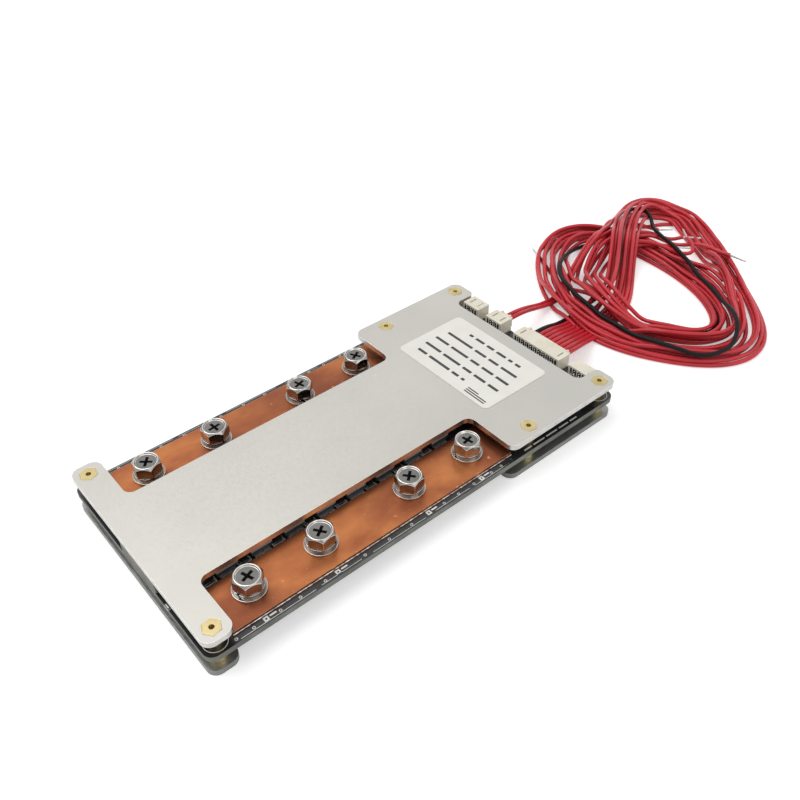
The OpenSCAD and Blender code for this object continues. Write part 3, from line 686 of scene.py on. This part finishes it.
def add_hex_screws():
    """Screw heads: a turned blank milled to a hexagon, with a raised rim, a dull dish and a cross."""
    face, corner, height = 4.0, 4.62, 4.0
    rim, rim_foot, dish = 3.55, height - 0.5, height - 0.55
    cross, dish_least = 2.7, height - 0.62
    head = turned_blank([(0, 0), (face - 0.1, 0), (corner, 0.36), (corner, height - 0.95),
                         (face - 0.1, height - 0.12), (face - 0.3, height), (rim, height),
                         (rim - 0.3, rim_foot), (0, dish)])
    deselect()
    bpy.ops.mesh.primitive_cylinder_add(vertices=6, radius=mm(face / math.cos(math.pi / 6)),
                                        depth=mm(height + 2), location=(0, 0, mm(height / 2)))
    hexagon = bpy.context.object
    settle(hexagon)
    boolean(head, hexagon, "INTERSECT")
    arm_width, arm_place, arm_taper = 1.2, height - 0.95, 0.45
    for turn, length, tall in ((0, 5, 2.4), (90, 4.9, 2.46)):
        deselect()
        bpy.ops.mesh.primitive_cube_add(size=1, location=(0, 0, 0))
        arm = bpy.context.object
        arm.scale = (mm(length), mm(arm_width), mm(tall))
        arm.location = (0, 0, mm(arm_place))
        arm.rotation_euler = (0, 0, math.radians(turn))
        settle(arm)
        for vertex in arm.data.vertices:
            if vertex.co.z < mm(arm_place):
                vertex.co.x *= arm_taper
                vertex.co.y *= arm_taper
        boolean(head, arm, "DIFFERENCE")
    head.data.materials.clear()
    for material in (nickel, nickel_face, nickel_recess_painted_shade, nickel_painted_highlight):
        head.data.materials.append(material)
    # Level faces in the dish take dull nickel; the cross recess and other sloped faces there take the dark finish,
    # painted shade for their depth
    for part in head.data.polygons:
        in_dish = math.hypot(part.center.x, part.center.y) < mm(rim - 0.2) and part.center.z > mm(1)
        level = part.normal.z > 0.9 and part.center.z > mm(dish_least)
        part.material_index = (1 if level else 2) if in_dish else 0
    only(head)
    bpy.ops.object.mode_set(mode="EDIT")
    bpy.ops.mesh.select_mode(type="EDGE")
    bpy.ops.mesh.select_all(action="DESELECT")
    bpy.ops.mesh.edges_select_sharp(sharpness=math.radians(28))
    bpy.ops.object.mode_set(mode="OBJECT")
    weights = head.data.attributes.new("bevel_weight_edge", "FLOAT", "EDGE")
    for edge, weight in zip(head.data.edges, weights.data):
        ends = [head.data.vertices[end].co for end in edge.vertices]
        in_cross = all(math.hypot(end.x, end.y) < mm(cross) and end.z > mm(1) for end in ends)
        weight.value = float(edge.select and not in_cross)
    # The bevels take the bright finish, a painted highlight on the rim and edges
    apply(head, "BEVEL", width=mm(0.11), segments=2, limit_method="WEIGHT", use_clamp_overlap=True,
          material=list(head.data.materials).index(nickel_painted_highlight))
    even_shading(head)
    deselect()
    bpy.ops.mesh.primitive_cylinder_add(vertices=32, radius=mm(2.5), depth=mm(10),
                                        location=(0, 0, mm(-4.9)))
    stem = bpy.context.object
    settle(stem)
    apply(stem, "BEVEL", width=mm(0.4), segments=2, limit_method="ANGLE", angle_limit=math.radians(40))
    smooth(stem)
    stem.data.materials.append(nickel)
    joined([head, stem])
    turns = (12, 35, 20, 41, 50, 5, 28, 17)
    boxes = sorted(lumps("terminal_screws"), key=lambda box: (box[0].y, box[0].x))
    places = []
    for turn, (low, high) in zip(turns, boxes):
        middle = (low + high) / 2
        places.append((Vector((middle.x, middle.y, high.z - mm(height))), math.radians(turn)))
    screws = repeated(head, places, "hex_screws", nickel, "nickel_steel")
    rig.replaces(screws, "terminal_screws")


add_hex_screws()

# --- parts on the board ---

eased("upper_transistors", "upper_transistor_bodies", 0.12, epoxy, "epoxy")
eased("lower_transistors", "lower_transistor_bodies", 0.12, epoxy, "epoxy")
eased("upper_transistor_metal", "upper_tabs_and_leads", 0.05, tinned, "tinned_metal", 1)
eased("lower_transistor_metal", "lower_tabs_and_leads", 0.05, tinned, "tinned_metal", 1)
eased("upper_thermal_pads", "upper_pads", 0.1, silicone, "silicone_pad")
eased("lower_thermal_pads", "lower_pads", 0.1, silicone, "silicone_pad")
eased("end_thermal_pad", "end_block", 0.25, end_silicone, "end_pad")
eased("gate_resistors", "gate_chips", 0.06, ceramic, "resistor", 1)
eased("sense_resistors", "sense_chips", 0.08, ceramic, "resistor", 1)
eased("balance_resistors", "balance_chips", 0.06, ceramic, "resistor", 1)
eased("balance_transistors", "balance_bodies", 0.06, epoxy, "epoxy", 1)
eased("monitor_chip", "monitor_body", 0.1, epoxy, "epoxy")
eased("driver_chips", "driver_bodies", 0.1, epoxy, "epoxy")
eased("chip_leads", "chip_legs", 0.02, tinned, "tinned_metal", 1)

# --- headers, plugs and label ---

pitch = 2.0

for header in ("spare_header", "sensor_header", "balance_header", "plain_header"):
    eased(header, header + "_shell", 0.1, nylon, "nylon")
for plug in ("sensor_plug", "balance_plug"):
    eased(plug, plug + "_shell", 0.1, nylon, "nylon")
eased("header_contacts", "header_pins", 0.04, tinned, "tinned_metal", 1)
eased("label", "label_sheet", 0.04, film, "label_film", 1)


def add_header_rears():
    """Rear of each header: a thin dark sheet along it, painted shade in its channel, with bright contact ends and thin
    ribs between.
    """
    rows = (("spare_header", 2), ("sensor_header", 2), ("balance_header", 9), ("plain_header", 2))
    channel_shades, pins, ribs = [], [], []
    for node, count in rows:
        low, high = map(Vector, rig.box(node))
        middle = (low.y + high.y) / 2
        wide = high.y - low.y - mm(1.8)
        channel_shades.append((wide, Vector((low.x, middle, high.z - mm(1.75)))))
        for k in range(count):
            y = middle + mm(pitch) * (k - (count - 1) / 2)
            pins.append((Vector((low.x - mm(0.1), y, high.z - mm(1.35))), 0))
            pins.append((Vector((low.x - mm(0.1), y, high.z - mm(2.3))), 0))
        for k in range(count + 1):
            y = middle + mm(pitch) * (k - count / 2)
            ribs.append((Vector((low.x - mm(0.06), y, high.z - mm(1.75))), 0))
    for number, (wide, place) in enumerate(channel_shades, 1):
        # A thin dark sheet, painted shade where the channel is deep
        channel = block_shape((mm(0.12), wide, mm(2.1)), 0.03)
        repeated(channel, [(place, 0)], f"header_channel_painted_shade_{number}", epoxy, "epoxy")
    repeated(block_shape(mm((0.5, 0.55, 0.5)), 0.08), pins, "contact_ends", tinned, "tinned_metal")
    repeated(block_shape(mm((0.24, 0.36, 2.2)), 0.05), ribs, "header_ribs", nylon, "nylon")


add_header_rears()


def add_end_caps(node, name, reach):
    """Tinned caps on both ends of each chip resistor, along its longer side."""
    caps = []
    for low, high in lumps(node):
        size, middle = high - low, (low + high) / 2
        along = 0 if size.x > size.y else 1
        for end in (-1, 1):
            place = Vector((middle.x, middle.y, low.z))
            place[along] += end * (size[along] - mm(reach)) / 2
            caps.append((place, math.pi / 2 * along))
    low, high = lumps(node)[0]
    size = sorted((high - low)[:2])
    deselect()
    bpy.ops.mesh.primitive_cube_add(size=1, location=(0, 0, 0))
    cap = bpy.context.object
    cap.scale = (mm(reach) + mm(0.06), size[0] + mm(0.06), high.z - low.z + mm(0.04))
    cap.location = (0, 0, (high.z - low.z) / 2 + mm(0.02))
    settle(cap)
    apply(cap, "BEVEL", width=mm(0.09), segments=2)
    smooth(cap)
    return repeated(cap, caps, name, tinned, "tinned_metal")


add_end_caps("gate_resistors", "gate_chip_caps", 0.5)
add_end_caps("sense_resistors", "sense_chip_caps", 0.9)
add_end_caps("balance_resistors", "balance_chip_caps", 0.5)


def add_chip_dots():
    """A round dimple mark at one corner of each chip."""
    dots = []
    for node in ("monitor_chip", "driver_chips"):
        for low, high in lumps(node):
            if high.z > board_high.z:
                dots.append((Vector((low.x + mm(0.9), high.y - mm(0.9), high.z - mm(0.005))), 0))
    repeated(ring_shape(0.35, 0.2, 0.03, 16), dots, "chip_dots", silkscreen, "label_film")


add_chip_dots()

# --- print, vias and solder on the board's strips ---

strip_front = (board_low.y + front_bar_low.y) / 2
strip_back = (board_high.y + back_bar_high.y) / 2
via_places = [-71, -65.6, -57.2, -50.7, -42.3, -28.4, -19.5, -11, 1.9, 7.8, 14.2, 21.7, 26.1, 30.6]
vias = [(Vector((mm(x), strip_front - mm(0.1), board_high.z)), 0) for x in via_places]
vias += [(Vector((mm(x), strip_back + mm(0.1), board_high.z)), 0) for x in via_places]
repeated(ring_shape(0.48, 0.27, 0.05), vias, "via_rings", tinned, "tinned_metal")


def add_chip_outlines():
    """Printed outline on the board round each chip resistor between the transistors."""
    low, high = lumps("gate_resistors")[0]
    size = [(high[k] - low[k]) / MM + 0.7 for k in (0, 1)]
    places = []
    for low, high in lumps("gate_resistors"):
        if low.z > board_low.z:
            places.append((Vector(((low.x + high.x) / 2, (low.y + high.y) / 2, board_high.z)), 0))
    repeated(pulled_up(sheet_shape(size), 0.03, 0.16), places, "chip_outlines", silkscreen, "label_film")


add_chip_outlines()


def bars_along(runs, width, height, axis, name, material, slot):
    """Plain bars: each run is (start, end, place across), in metres."""
    made = []
    for start, end, place in runs:
        length = (end - start) / MM
        bar = pad_shape((length, width) if axis == 0 else (width, length), height, min(0.2, length / 5))
        middle = (start + end) / 2
        spot = Vector((middle, place.y, place.z)) if axis == 0 else Vector((place.x, middle, place.z))
        bar.data.transform(Matrix.Translation(spot))
        made.append(bar)
    return finished(joined(made), name, material, slot)


def bar_runs(start, end, lengths, gap):
    """Start and end of plain bars laid one after another, the lengths repeated until the end."""
    runs, at = [], start
    way = 1 if end > start else -1
    while way * (end - at) > gap:
        size = min(lengths[len(runs) % len(lengths)], way * (end - at))
        runs.append((min(at, at + way * size), max(at, at + way * size)))
        at += way * (size + gap)
    return runs


def add_board_print():
    """Pale marks: a box and a dash by each screw, fine dashes, and a row of plain bars."""
    top = board_high.z
    ink = 0.03
    screw_marks = (-61.6, -37.8, -4.1, 17.7)
    marks = []
    for x in screw_marks:
        marks.append((mm(x + 1.2), mm(x + 3.4), Vector((0, strip_front + mm(0.35), top))))
    for start, end in bar_runs(mm(36.6), mm(63), [mm(3.4), mm(5.2), mm(5.2), mm(4.6)], mm(0.8)):
        marks.append((start, end, Vector((0, mm(-38.7), top))))
    bars_along(marks, 0.55, ink, 0, "board_print", silkscreen, "label_film")
    boxes = [(Vector((mm(x), strip_front + mm(0.1), top)), math.pi / 4) for x in screw_marks]
    repeated(ring_shape(1.1, 0.6, ink, 4), boxes, "board_marks", silkscreen, "label_film")
    traces = []
    runs = ((-70, -46, 0.55), (-44, -30, 0.75), (-26, -6, 0.55), (-2, 12, 0.75), (14, 29, 0.55))
    for x0, x1, inset in runs:
        traces.append((mm(x0), mm(x1), Vector((0, board_low.y + mm(inset), top))))
        traces.append((mm(x0), mm(x1), Vector((0, board_high.y - mm(inset), top))))
    bars_along(traces, 0.16, ink, 0, "board_traces", tinned, "tinned_metal")
    arcs = [(Vector((mm(x), mm(y), top)), 0) for x in (-75.5, 75.5) for y in (-35.7, 35.7)]
    repeated(ring_shape(3.5, 3.3, ink, 40), arcs, "board_rings", silkscreen, "label_film")


add_board_print()


def add_solder_bead(name, y, low, high):
    """Solder that crept out along a bar's edge: a bead of uneven thickness."""
    bead = line_curve(name, 0.22, 2)
    spline = bead.data.splines.new("POLY")
    count = 170
    spline.points.add(count - 1)
    for i, point in enumerate(spline.points):
        along = i / (count - 1)
        x = low.x + (high.x - low.x) * along
        swell = 0.75 + 0.45 * math.sin(i * 0.83) * math.sin(i * 0.31 + 1) + 0.3 * math.sin(i * 2.1 + y * 900)
        point.co = (x, y, board_high.z + mm(0.08), 1)
        point.radius = max(0.15, swell)
    only(bead)
    bpy.ops.object.convert(target="MESH")
    smooth(bead, 60)
    finished(bead, name, tinned, "tinned_metal")


add_solder_bead("front_solder_bead", front_bar_low.y, front_bar_low, front_bar_high)
add_solder_bead("back_solder_bead", back_bar_high.y, back_bar_low, back_bar_high)


def add_nut_solder():
    """A low skirt of solder round each nut, under the board."""
    deselect()
    bpy.ops.mesh.primitive_cone_add(vertices=28, radius1=mm(4.65), radius2=mm(5.5), depth=mm(0.5))
    skirt = bpy.context.object
    apply(skirt, "BEVEL", width=mm(0.15), segments=2, limit_method="ANGLE", angle_limit=math.radians(40))
    smooth(skirt)
    places = []
    for low, high in lumps("terminal_nuts"):
        middle = (low + high) / 2
        places.append((Vector((middle.x, middle.y, board_low.z - mm(0.25))), 0.2 * len(places)))
    repeated(skirt, places, "nut_solder", tinned, "tinned_metal")


add_nut_solder()


def add_label_print():
    """Rows of plain grey bars where the label has print."""
    top = label_top - mm(0.01)
    rows = [(60.2, 11.5, -13.5, [1.8, 4.2, 3.4, 4.4]), (55.2, 17.5, -16.5, [12.5, 5.4, 4.6]),
            (50.2, 18.5, -17.5, [6.6, 8.4, 4.2, 5.4]), (45.3, 18.5, -17.5, [7.8, 8.4, 4.2, 5.4]),
            (40.8, 17.5, -6, [4.4, 10.2, 3.2])]
    runs = []
    for x, start, end, lengths in rows:
        for low, high in bar_runs(mm(start), mm(end), [mm(v) for v in lengths], mm(1.4)):
            runs.append((low, high, Vector((mm(x), 0, top))))
    bars_along(runs, 1.15, 0.03, 1, "label_print", print_ink, "epoxy")
    small = [(mm(-19), mm(-9.5), Vector((mm(x), 0, top))) for x in (37.3, 38.3)]
    small += [(mm(-14.5), mm(-9.5), Vector((mm(39.3), 0, top)))]
    bars_along(small, 0.5, 0.03, 1, "label_small_print", print_ink, "epoxy")


add_label_print()

# --- wires ---

# In millimetres, as the routes are
wire_d = 1.7
strand_d, strand_reach, strand_twist = 0.34, 7.5, 5.5
plug_x, contact_z = 81.5, 11.05
balance_y, sensor_y = -7.85, 13.5
entry_pitch, entry_z = 1.9, 1.6
sample = 1.25
# Most height that moves a point of a route, and the grid that its place is rounded to
lean_limit, lean_grid = 5, 0.5
# Share of the way out, and of the way across and down, from the plug to the coil
wire_route = [(0, 0), (0.14, 0.02), (0.3, 0.15), (0.48, 0.42), (0.66, 0.72), (0.83, 0.94), (1, 1)]

# Middle of each band of wires, from where it reaches the coil: x, y and layer, where a higher
# layer lies over a lower one. The points are where the band would be seen if it all lay flat.
ROUTES = {
    "round": [
        (110, -1, 0), (119, 0, 0), (129, 2, 0), (139, 6.5, 0), (150, 13.5, 0.8), (163, 23, 5),
        (176, 32.5, 6), (190, 40.5, 6), (202, 45, 6), (210.5, 43.5, 6), (214.5, 36, 6),
        (213, 25, 6), (206, 12.5, 3), (196.5, -1.5, 3), (186.5, -15.5, 3), (177, -27.5, 3),
        (166, -39, 3), (155, -45.5, 3), (144, -45.5, 3), (134, -40, 3), (126, -30, 3),
        (120.5, -18, 3), (118.5, -5, 3), (119.5, 9, 3), (124, 22, 3), (132, 34, 3), (143, 45, 3),
        (154.5, 50, 3), (165.5, 48.5, 3), (174, 40, 2.6), (178, 28, 2), (178.5, 15, 2),
        (177.5, 2, 2), (174, -11, 2), (168, -24, 2), (159, -35, 2), (148, -38.5, 2),
        (139, -34.5, 1.8), (133, -25, 1.6), (130.5, -12, 1.4), (130.5, 1, 1.4), (133, 13, 1.4),
        (139, 22.5, 1.4), (148, 29, 1.8), (160, 33, 3),
    ],
    "black": [
        (110, -1, 0), (119, 0, 0), (129, 2, 0), (139, 6.5, 0), (150, 14, 0.8), (163, 24, 5),
        (176, 34, 6.5), (190, 42.5, 6.5), (201, 45.5, 6.5), (205, 41, 6.5), (200, 34, 6.5),
        (192, 28, 6.5), (186, 14, 6.5), (180, 1, 6.5), (174, -12, 6.5), (166.5, -25, 6.5),
        (159, -36, 6.5), (150, -43, 6.5), (141, -46.5, 6.5), (133.5, -43.5, 6.5), (127, -37, 6.5),
        (122.5, -25, 6.5), (121, -9, 6.5), (122, 6, 6.5), (125.5, 22, 6.5), (133, 33.5, 6.5),
        (142, 39, 6), (150, 41.5, 3), (158, 42, 0.2), (166, 39.5, 0.2), (172, 32, 0.2),
        (174, 20, 0.2), (173, 5, 0.2), (170, -8, 0.2), (164, -22, 0.2), (156, -32, 0.2),
        (147, -35.5, 0.2),
    ],
    "sensor": [
        (116, 19, 0), (125, 22, 2.3), (135, 27, 2.5), (147, 32, 3.2), (160, 36, 5), (174, 41, 7),
        (188, 47.5, 7), (201, 52, 6.5), (212.5, 51, 6.5), (219.5, 44, 6.5), (220.5, 34, 6.5),
        (217.5, 22.5, 6), (210, 8.5, 3.2), (200, -5.5, 3.2), (189.5, -19.5, 3.2),
        (178.5, -32.5, 3.2), (166, -45, 3.2), (154, -51, 3.2), (142.5, -51, 3.2), (131, -45, 3.2),
        (121.5, -34, 3.2), (114.5, -20, 3.2), (112, -5, 3.2), (113, 10, 3.2), (118, 25, 3.2),
        (128, 39, 3.2), (141, 51, 3.2), (155, 55.5, 3.2), (168, 53.5, 3), (178, 43, 2.6),
        (182, 30, 2), (182, 15, 2), (180, 1, 2),
    ],
}
# Wires that follow each route
BANDS = {"round": range(1, 9), "black": [9], "sensor": [10, 11]}
# Where each wire goes at its end, after the last point of its route
ENDS = {
    1: [(174, 28, 4), (181, 21, 4), (188, 13, 4)],
    2: [(174, 35.5, 4), (187, 37, 4), (197, 34, 4), (204, 28.5, 4), (208.5, 22.5, 4)],
    3: [(174, 33.5, 4), (185, 32, 4.5), (193, 26, 4.5), (199, 19.5, 4.5), (203, 14, 4.5)],
    4: [(173, 30, 4), (181, 20, 3.6), (187, 5, 3.6), (192, 3, 3.6), (196, 10, 4), (200, 17, 4)],
    5: [(174, 32, 4), (185, 29, 4), (194, 17, 4), (198, 4, 4), (199, -9, 4)],
    6: [(174, 39, 4), (186, 42, 4), (197, 44, 4)],
    7: [(129.5, 13, 1.4), (129, 23, 1.4), (132, 35, 1.4), (136, 45, 1.4), (138.5, 50.5, 1.4)],
    8: [(174, 37.5, 4), (185, 37, 4), (193, 33.5, 4), (199, 27, 4)],
    9: [(139, -31, 0.2), (134, -20, 0.2)],
}
# Points at the end of its route that a wire doesn't reach before it turns off
EARLY = {7: 4}


def curve_through(points, step):
    """Smooth line through the points, as evenly spaced samples."""
    points = np.array(points, float)
    points = np.vstack([2 * points[0] - points[1], points, 2 * points[-1] - points[-2]])
    t = np.linspace(0, 1, 16, endpoint=False)[:, None]
    stretches = []
    for a, b, c, d in zip(points, points[1:], points[2:], points[3:]):
        stretches.append(0.5 * (2 * b + (c - a) * t + (2 * a - 5 * b + 4 * c - d) * t**2
                                + (3 * b - a - 3 * c + d) * t**3))
    fine = np.vstack(stretches + [points[-2][None]])
    return resampled(fine, step)


def resampled(line, step):
    """The line with its samples a step apart in plan."""
    run = np.r_[0, np.cumsum(np.linalg.norm(np.diff(line[:, :2], axis=0), axis=1))]
    even = np.linspace(0, run[-1], max(2, round(run[-1] / step) + 1))
    return np.column_stack([np.interp(even, run, line[:, i]) for i in range(line.shape[1])])


def beside(line, offset):
    """The line moved to its left by an offset for each sample."""
    ahead = np.gradient(line[:, :2], axis=0)
    ahead /= np.linalg.norm(ahead, axis=1)[:, None]
    moved = line.copy()
    moved[:, 0] -= ahead[:, 1] * offset
    moved[:, 1] += ahead[:, 0] * offset
    return moved


def blend_in(run, start, end):
    """From 0 to 1 between two places along a run, with soft ends."""
    t = np.clip((run - start) / (end - start), 0, 1)
    return t * t * (3 - 2 * t)


def plan_of(number, routes, ends, wander, evened):
    """Plan and layer of one wire, from where it reaches the coil. Wires 10 and 11 are the sensor's.

    The wire keeps its place in its band, wanders a little to each side, and is evened out.
    """
    if number >= 10:
        route, place, spread = routes["sensor"], number - 10.5, 1.7
        tail = [(178 - 2 * place, -9, 2), (173 - 3 * place, -20, 2)]
    elif number == 9:
        route, place, spread, tail = routes["black"], 4, 0, ends[9]
    else:
        route, place, spread, tail = routes["round"], number - 5, 1.45, ends[number]
        route = route[:len(route) - EARLY.get(number, 0)]
    line = curve_through(route + tail, sample)
    run = np.arange(len(line)) * sample
    join = blend_in(run, 8, 40)
    tail_start = sample * len(curve_through(route, sample))
    leave = 1 - blend_in(run, tail_start - 4, tail_start + 12)
    side = place * (entry_pitch * (1 - join) + spread * join * leave)
    turn = wander * np.sin(run / (31 + 2.3 * (number % 4)) + 2.4 * number)
    line = np.column_stack([line, run])
    line = beside(line, side + turn * blend_in(run, 50, 110) * leave)
    for _ in range(evened):
        line[4:-4, :2] = sum(line[k:len(line) - 8 + k, :2] for k in range(9)) / 9
    return resampled(line, sample)


def stacked(plans):
    """Height of each sample, so that every wire rests on the floor or on what lies under it.

    Two wires cross where their samples are nearer than a wire's width. The higher layer goes
    over. Wires of one layer lie side by side, and every second one may ride on its neighbours.
    """
    window, most_rounds, close_enough = 2, 60, 0.01
    steep, black_steep = 0.4, 0.22
    one_layer, one_run = 0.9, 70
    points = np.vstack(plans)
    first = np.r_[0, np.cumsum([len(p) for p in plans])]
    wire = np.repeat(np.arange(len(plans)), [len(p) for p in plans])
    rank = wire + 20 * (wire % 2)
    reach = 1.03 * wire_d
    over, under, lift = [], [], []
    for a in range(0, len(points), 400):
        chunk = points[a:a + 400]
        apart = np.hypot(chunk[:, None, 0] - points[None, :, 0], chunk[:, None, 1] - points[None, :, 1])
        i, j = np.nonzero(apart < reach)
        near_in_layer = abs(points[i + a, 2] - points[j, 2]) < one_layer
        side_by_side = near_in_layer & (abs(points[i + a, 3] - points[j, 3]) < one_run)
        above = np.where(side_by_side, rank[i + a] > rank[j], points[i + a, 2] > points[j, 2])
        over.append(i[above] + a)
        under.append(j[above])
        lift.append(np.sqrt(reach**2 - apart[i, j][above] ** 2))
    over, under, lift = map(np.concatenate, (over, under, lift))
    height = np.full(len(points), wire_d / 2)
    for _ in range(most_rounds):
        need = np.full(len(points), wire_d / 2)
        np.maximum.at(need, over, height[under] + lift)
        new = np.empty_like(height)
        for number, (a, b) in enumerate(zip(first, first[1:]), 1):
            ramp = (black_steep if number == 9 else steep) * sample * np.arange(b - a)
            rise = np.maximum.accumulate(need[a:b] + ramp) - ramp
            fall = (np.maximum.accumulate(need[a:b][::-1] + ramp) - ramp)[::-1]
            padded = np.pad(np.maximum(rise, fall), window, mode="edge")
            top = np.lib.stride_tricks.sliding_window_view(padded, 2 * window + 1).max(axis=1)
            padded = np.pad(top, window, mode="edge")
            new[a:b] = np.lib.stride_tricks.sliding_window_view(padded, 2 * window + 1).mean(axis=1)
        if abs(new - height).max() < close_enough:
            break
        height = new
    return [height[a:b] for a, b in zip(first, first[1:])]


def leaned(points, wires, plans, heights, fixed):
    """Points of a route moved to where its wires are, now that they don't all lie flat.

    A point that lies higher is seen in the same place if it moves towards the camera by the
    share that its height is of the camera's. The first points, which are fixed, stay by the plug.
    """
    layer_weight, reach, blend = 6, 8, 3
    lean = []
    for x, y, layer in points:
        there = []
        for number in wires:
            plan, height = plans[number - 1], heights[number - 1]
            apart = np.hypot(plan[:, 0] - x, plan[:, 1] - y) + layer_weight * abs(plan[:, 2] - layer)
            nearest = int(apart.argmin())
            there.append(height[max(0, nearest - reach):nearest + reach + 1].mean())
        lean.append(np.mean(there))
    lean = np.convolve(np.pad(lean, 1, mode="edge"), (0.25, 0.5, 0.25), "valid")
    moved = []
    for i, ((x, y, layer), height) in enumerate(zip(points, np.minimum(lean, lean_limit))):
        share = height / camera_place[2]
        if fixed:
            share *= min(1, max(0, (i - fixed + 1) / blend))
        place = np.array((x, y)) + share * (np.array(camera_place[:2]) - (x, y))
        moved.append((*(np.round(place / lean_grid) * lean_grid), layer))
    return moved


def leaned_routes():
    """Routes and ends for wires that lie on each other, from the ones for wires that lie flat."""
    plans = [plan_of(number, ROUTES, ENDS, 1.3, 0) for number in range(1, 12)]
    heights = stacked(plans)
    routes = {band: leaned(ROUTES[band], wires, plans, heights, 2) for band, wires in BANDS.items()}
    ends = {number: leaned(points, [number], plans, heights, 0) for number, points in ENDS.items()}
    return routes, ends


def wire_lines():
    """Centreline of every wire in millimetres, from its plug to its bare end."""
    routes, ends = leaned_routes()
    plans = [plan_of(number, routes, ends, 1.0, 3) for number in range(1, 12)]
    lines = []
    for number, (plan, height) in enumerate(zip(plans, stacked(plans)), 1):
        y = balance_y + (number - 5) * pitch if number <= 9 else sensor_y + (number - 10.5) * pitch
        start, end = np.array([plug_x, y, contact_z]), np.array([plan[0, 0], plan[0, 1], entry_z])
        lead = np.array([start + (end - start) * (out, drop, drop) for out, drop in wire_route])
        loose = np.column_stack([plan[:, :2], height])
        loose[:, 2] += (entry_z - height[0]) * (1 - blend_in(np.arange(len(loose)) * sample, 0, 18))
        lines.append(np.vstack([lead, loose[4::4]]))
    return lines


def curve_piece(name, lines, thickness, material, roundness=3):
    """Round wires of one thickness through the lines, which are in millimetres."""
    piece = line_curve(name, thickness / 2, roundness)
    piece.data.resolution_u = 3
    piece.data.use_fill_caps = True
    for line in lines:
        spline = piece.data.splines.new("BEZIER")
        spline.bezier_points.add(len(line) - 1)
        for point, place in zip(spline.bezier_points, line):
            point.co = place * MM
            point.handle_left_type = point.handle_right_type = "AUTO"
    piece.data.materials.append(material)
    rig.ride(piece, "root")
    return piece


def add_bare_end(name, line):
    """Twisted and tinned strands that stand out of the cut jacket."""
    tip = line[-1]
    ahead = line[-1] - line[-3]
    ahead[2] *= 0.3
    ahead /= np.linalg.norm(ahead)
    aside = np.cross(ahead, (0, 0, 1))
    up = np.cross(aside, ahead)
    strands = []
    for k in range(5):
        along = np.linspace(-0.6, strand_reach - 0.35 * (k % 3), 22)
        turn = 2 * math.pi * (k / 5 + along / strand_twist)
        taper = strand_d * 0.85 * (1 - 0.25 * np.clip(along / strand_reach, 0, 1))
        strands.append(tip + along[:, None] * ahead
                       + (taper * np.cos(turn))[:, None] * aside + (taper * np.sin(turn))[:, None] * up)
    strands.append(tip + np.linspace(-0.6, strand_reach - 0.5, 8)[:, None] * ahead)
    end = curve_piece(name, strands, strand_d, tinned, 2)
    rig.slot(end, "tinned_metal")
    return end


def add_wire(node, line, material, slot):
    """One loose wire with its bare end, in place of its CAD solid."""
    wire = curve_piece(node + "_line", [line], wire_d, material)
    end = add_bare_end(node + "_strands", line)
    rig.replaces(wire, node, "wire_coil")
    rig.slot(wire, slot)
    length = float(np.linalg.norm(np.diff(line, axis=0), axis=1).sum())
    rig.cord(wire, exit=tuple(line[0] * MM), length=mm(length), diameter=mm(wire_d), far_end="bare",
            stiffness="limp", lay="loose", with_pieces=[end])


for number, line in enumerate(wire_lines(), 1):
    if number == 9:
        add_wire("sense_wire_9", line, black_pvc, "black_wire")
    else:
        node = f"sense_wire_{number}" if number < 9 else f"sensor_wire_{number - 9}"
        add_wire(node, line, red_pvc, "red_wire")

size_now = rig.bounds()
with open("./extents.json", "w") as out:
    json.dump({"cad": [list(c) for c in cad_box], "visual": [list(c) for c in size_now]}, out)
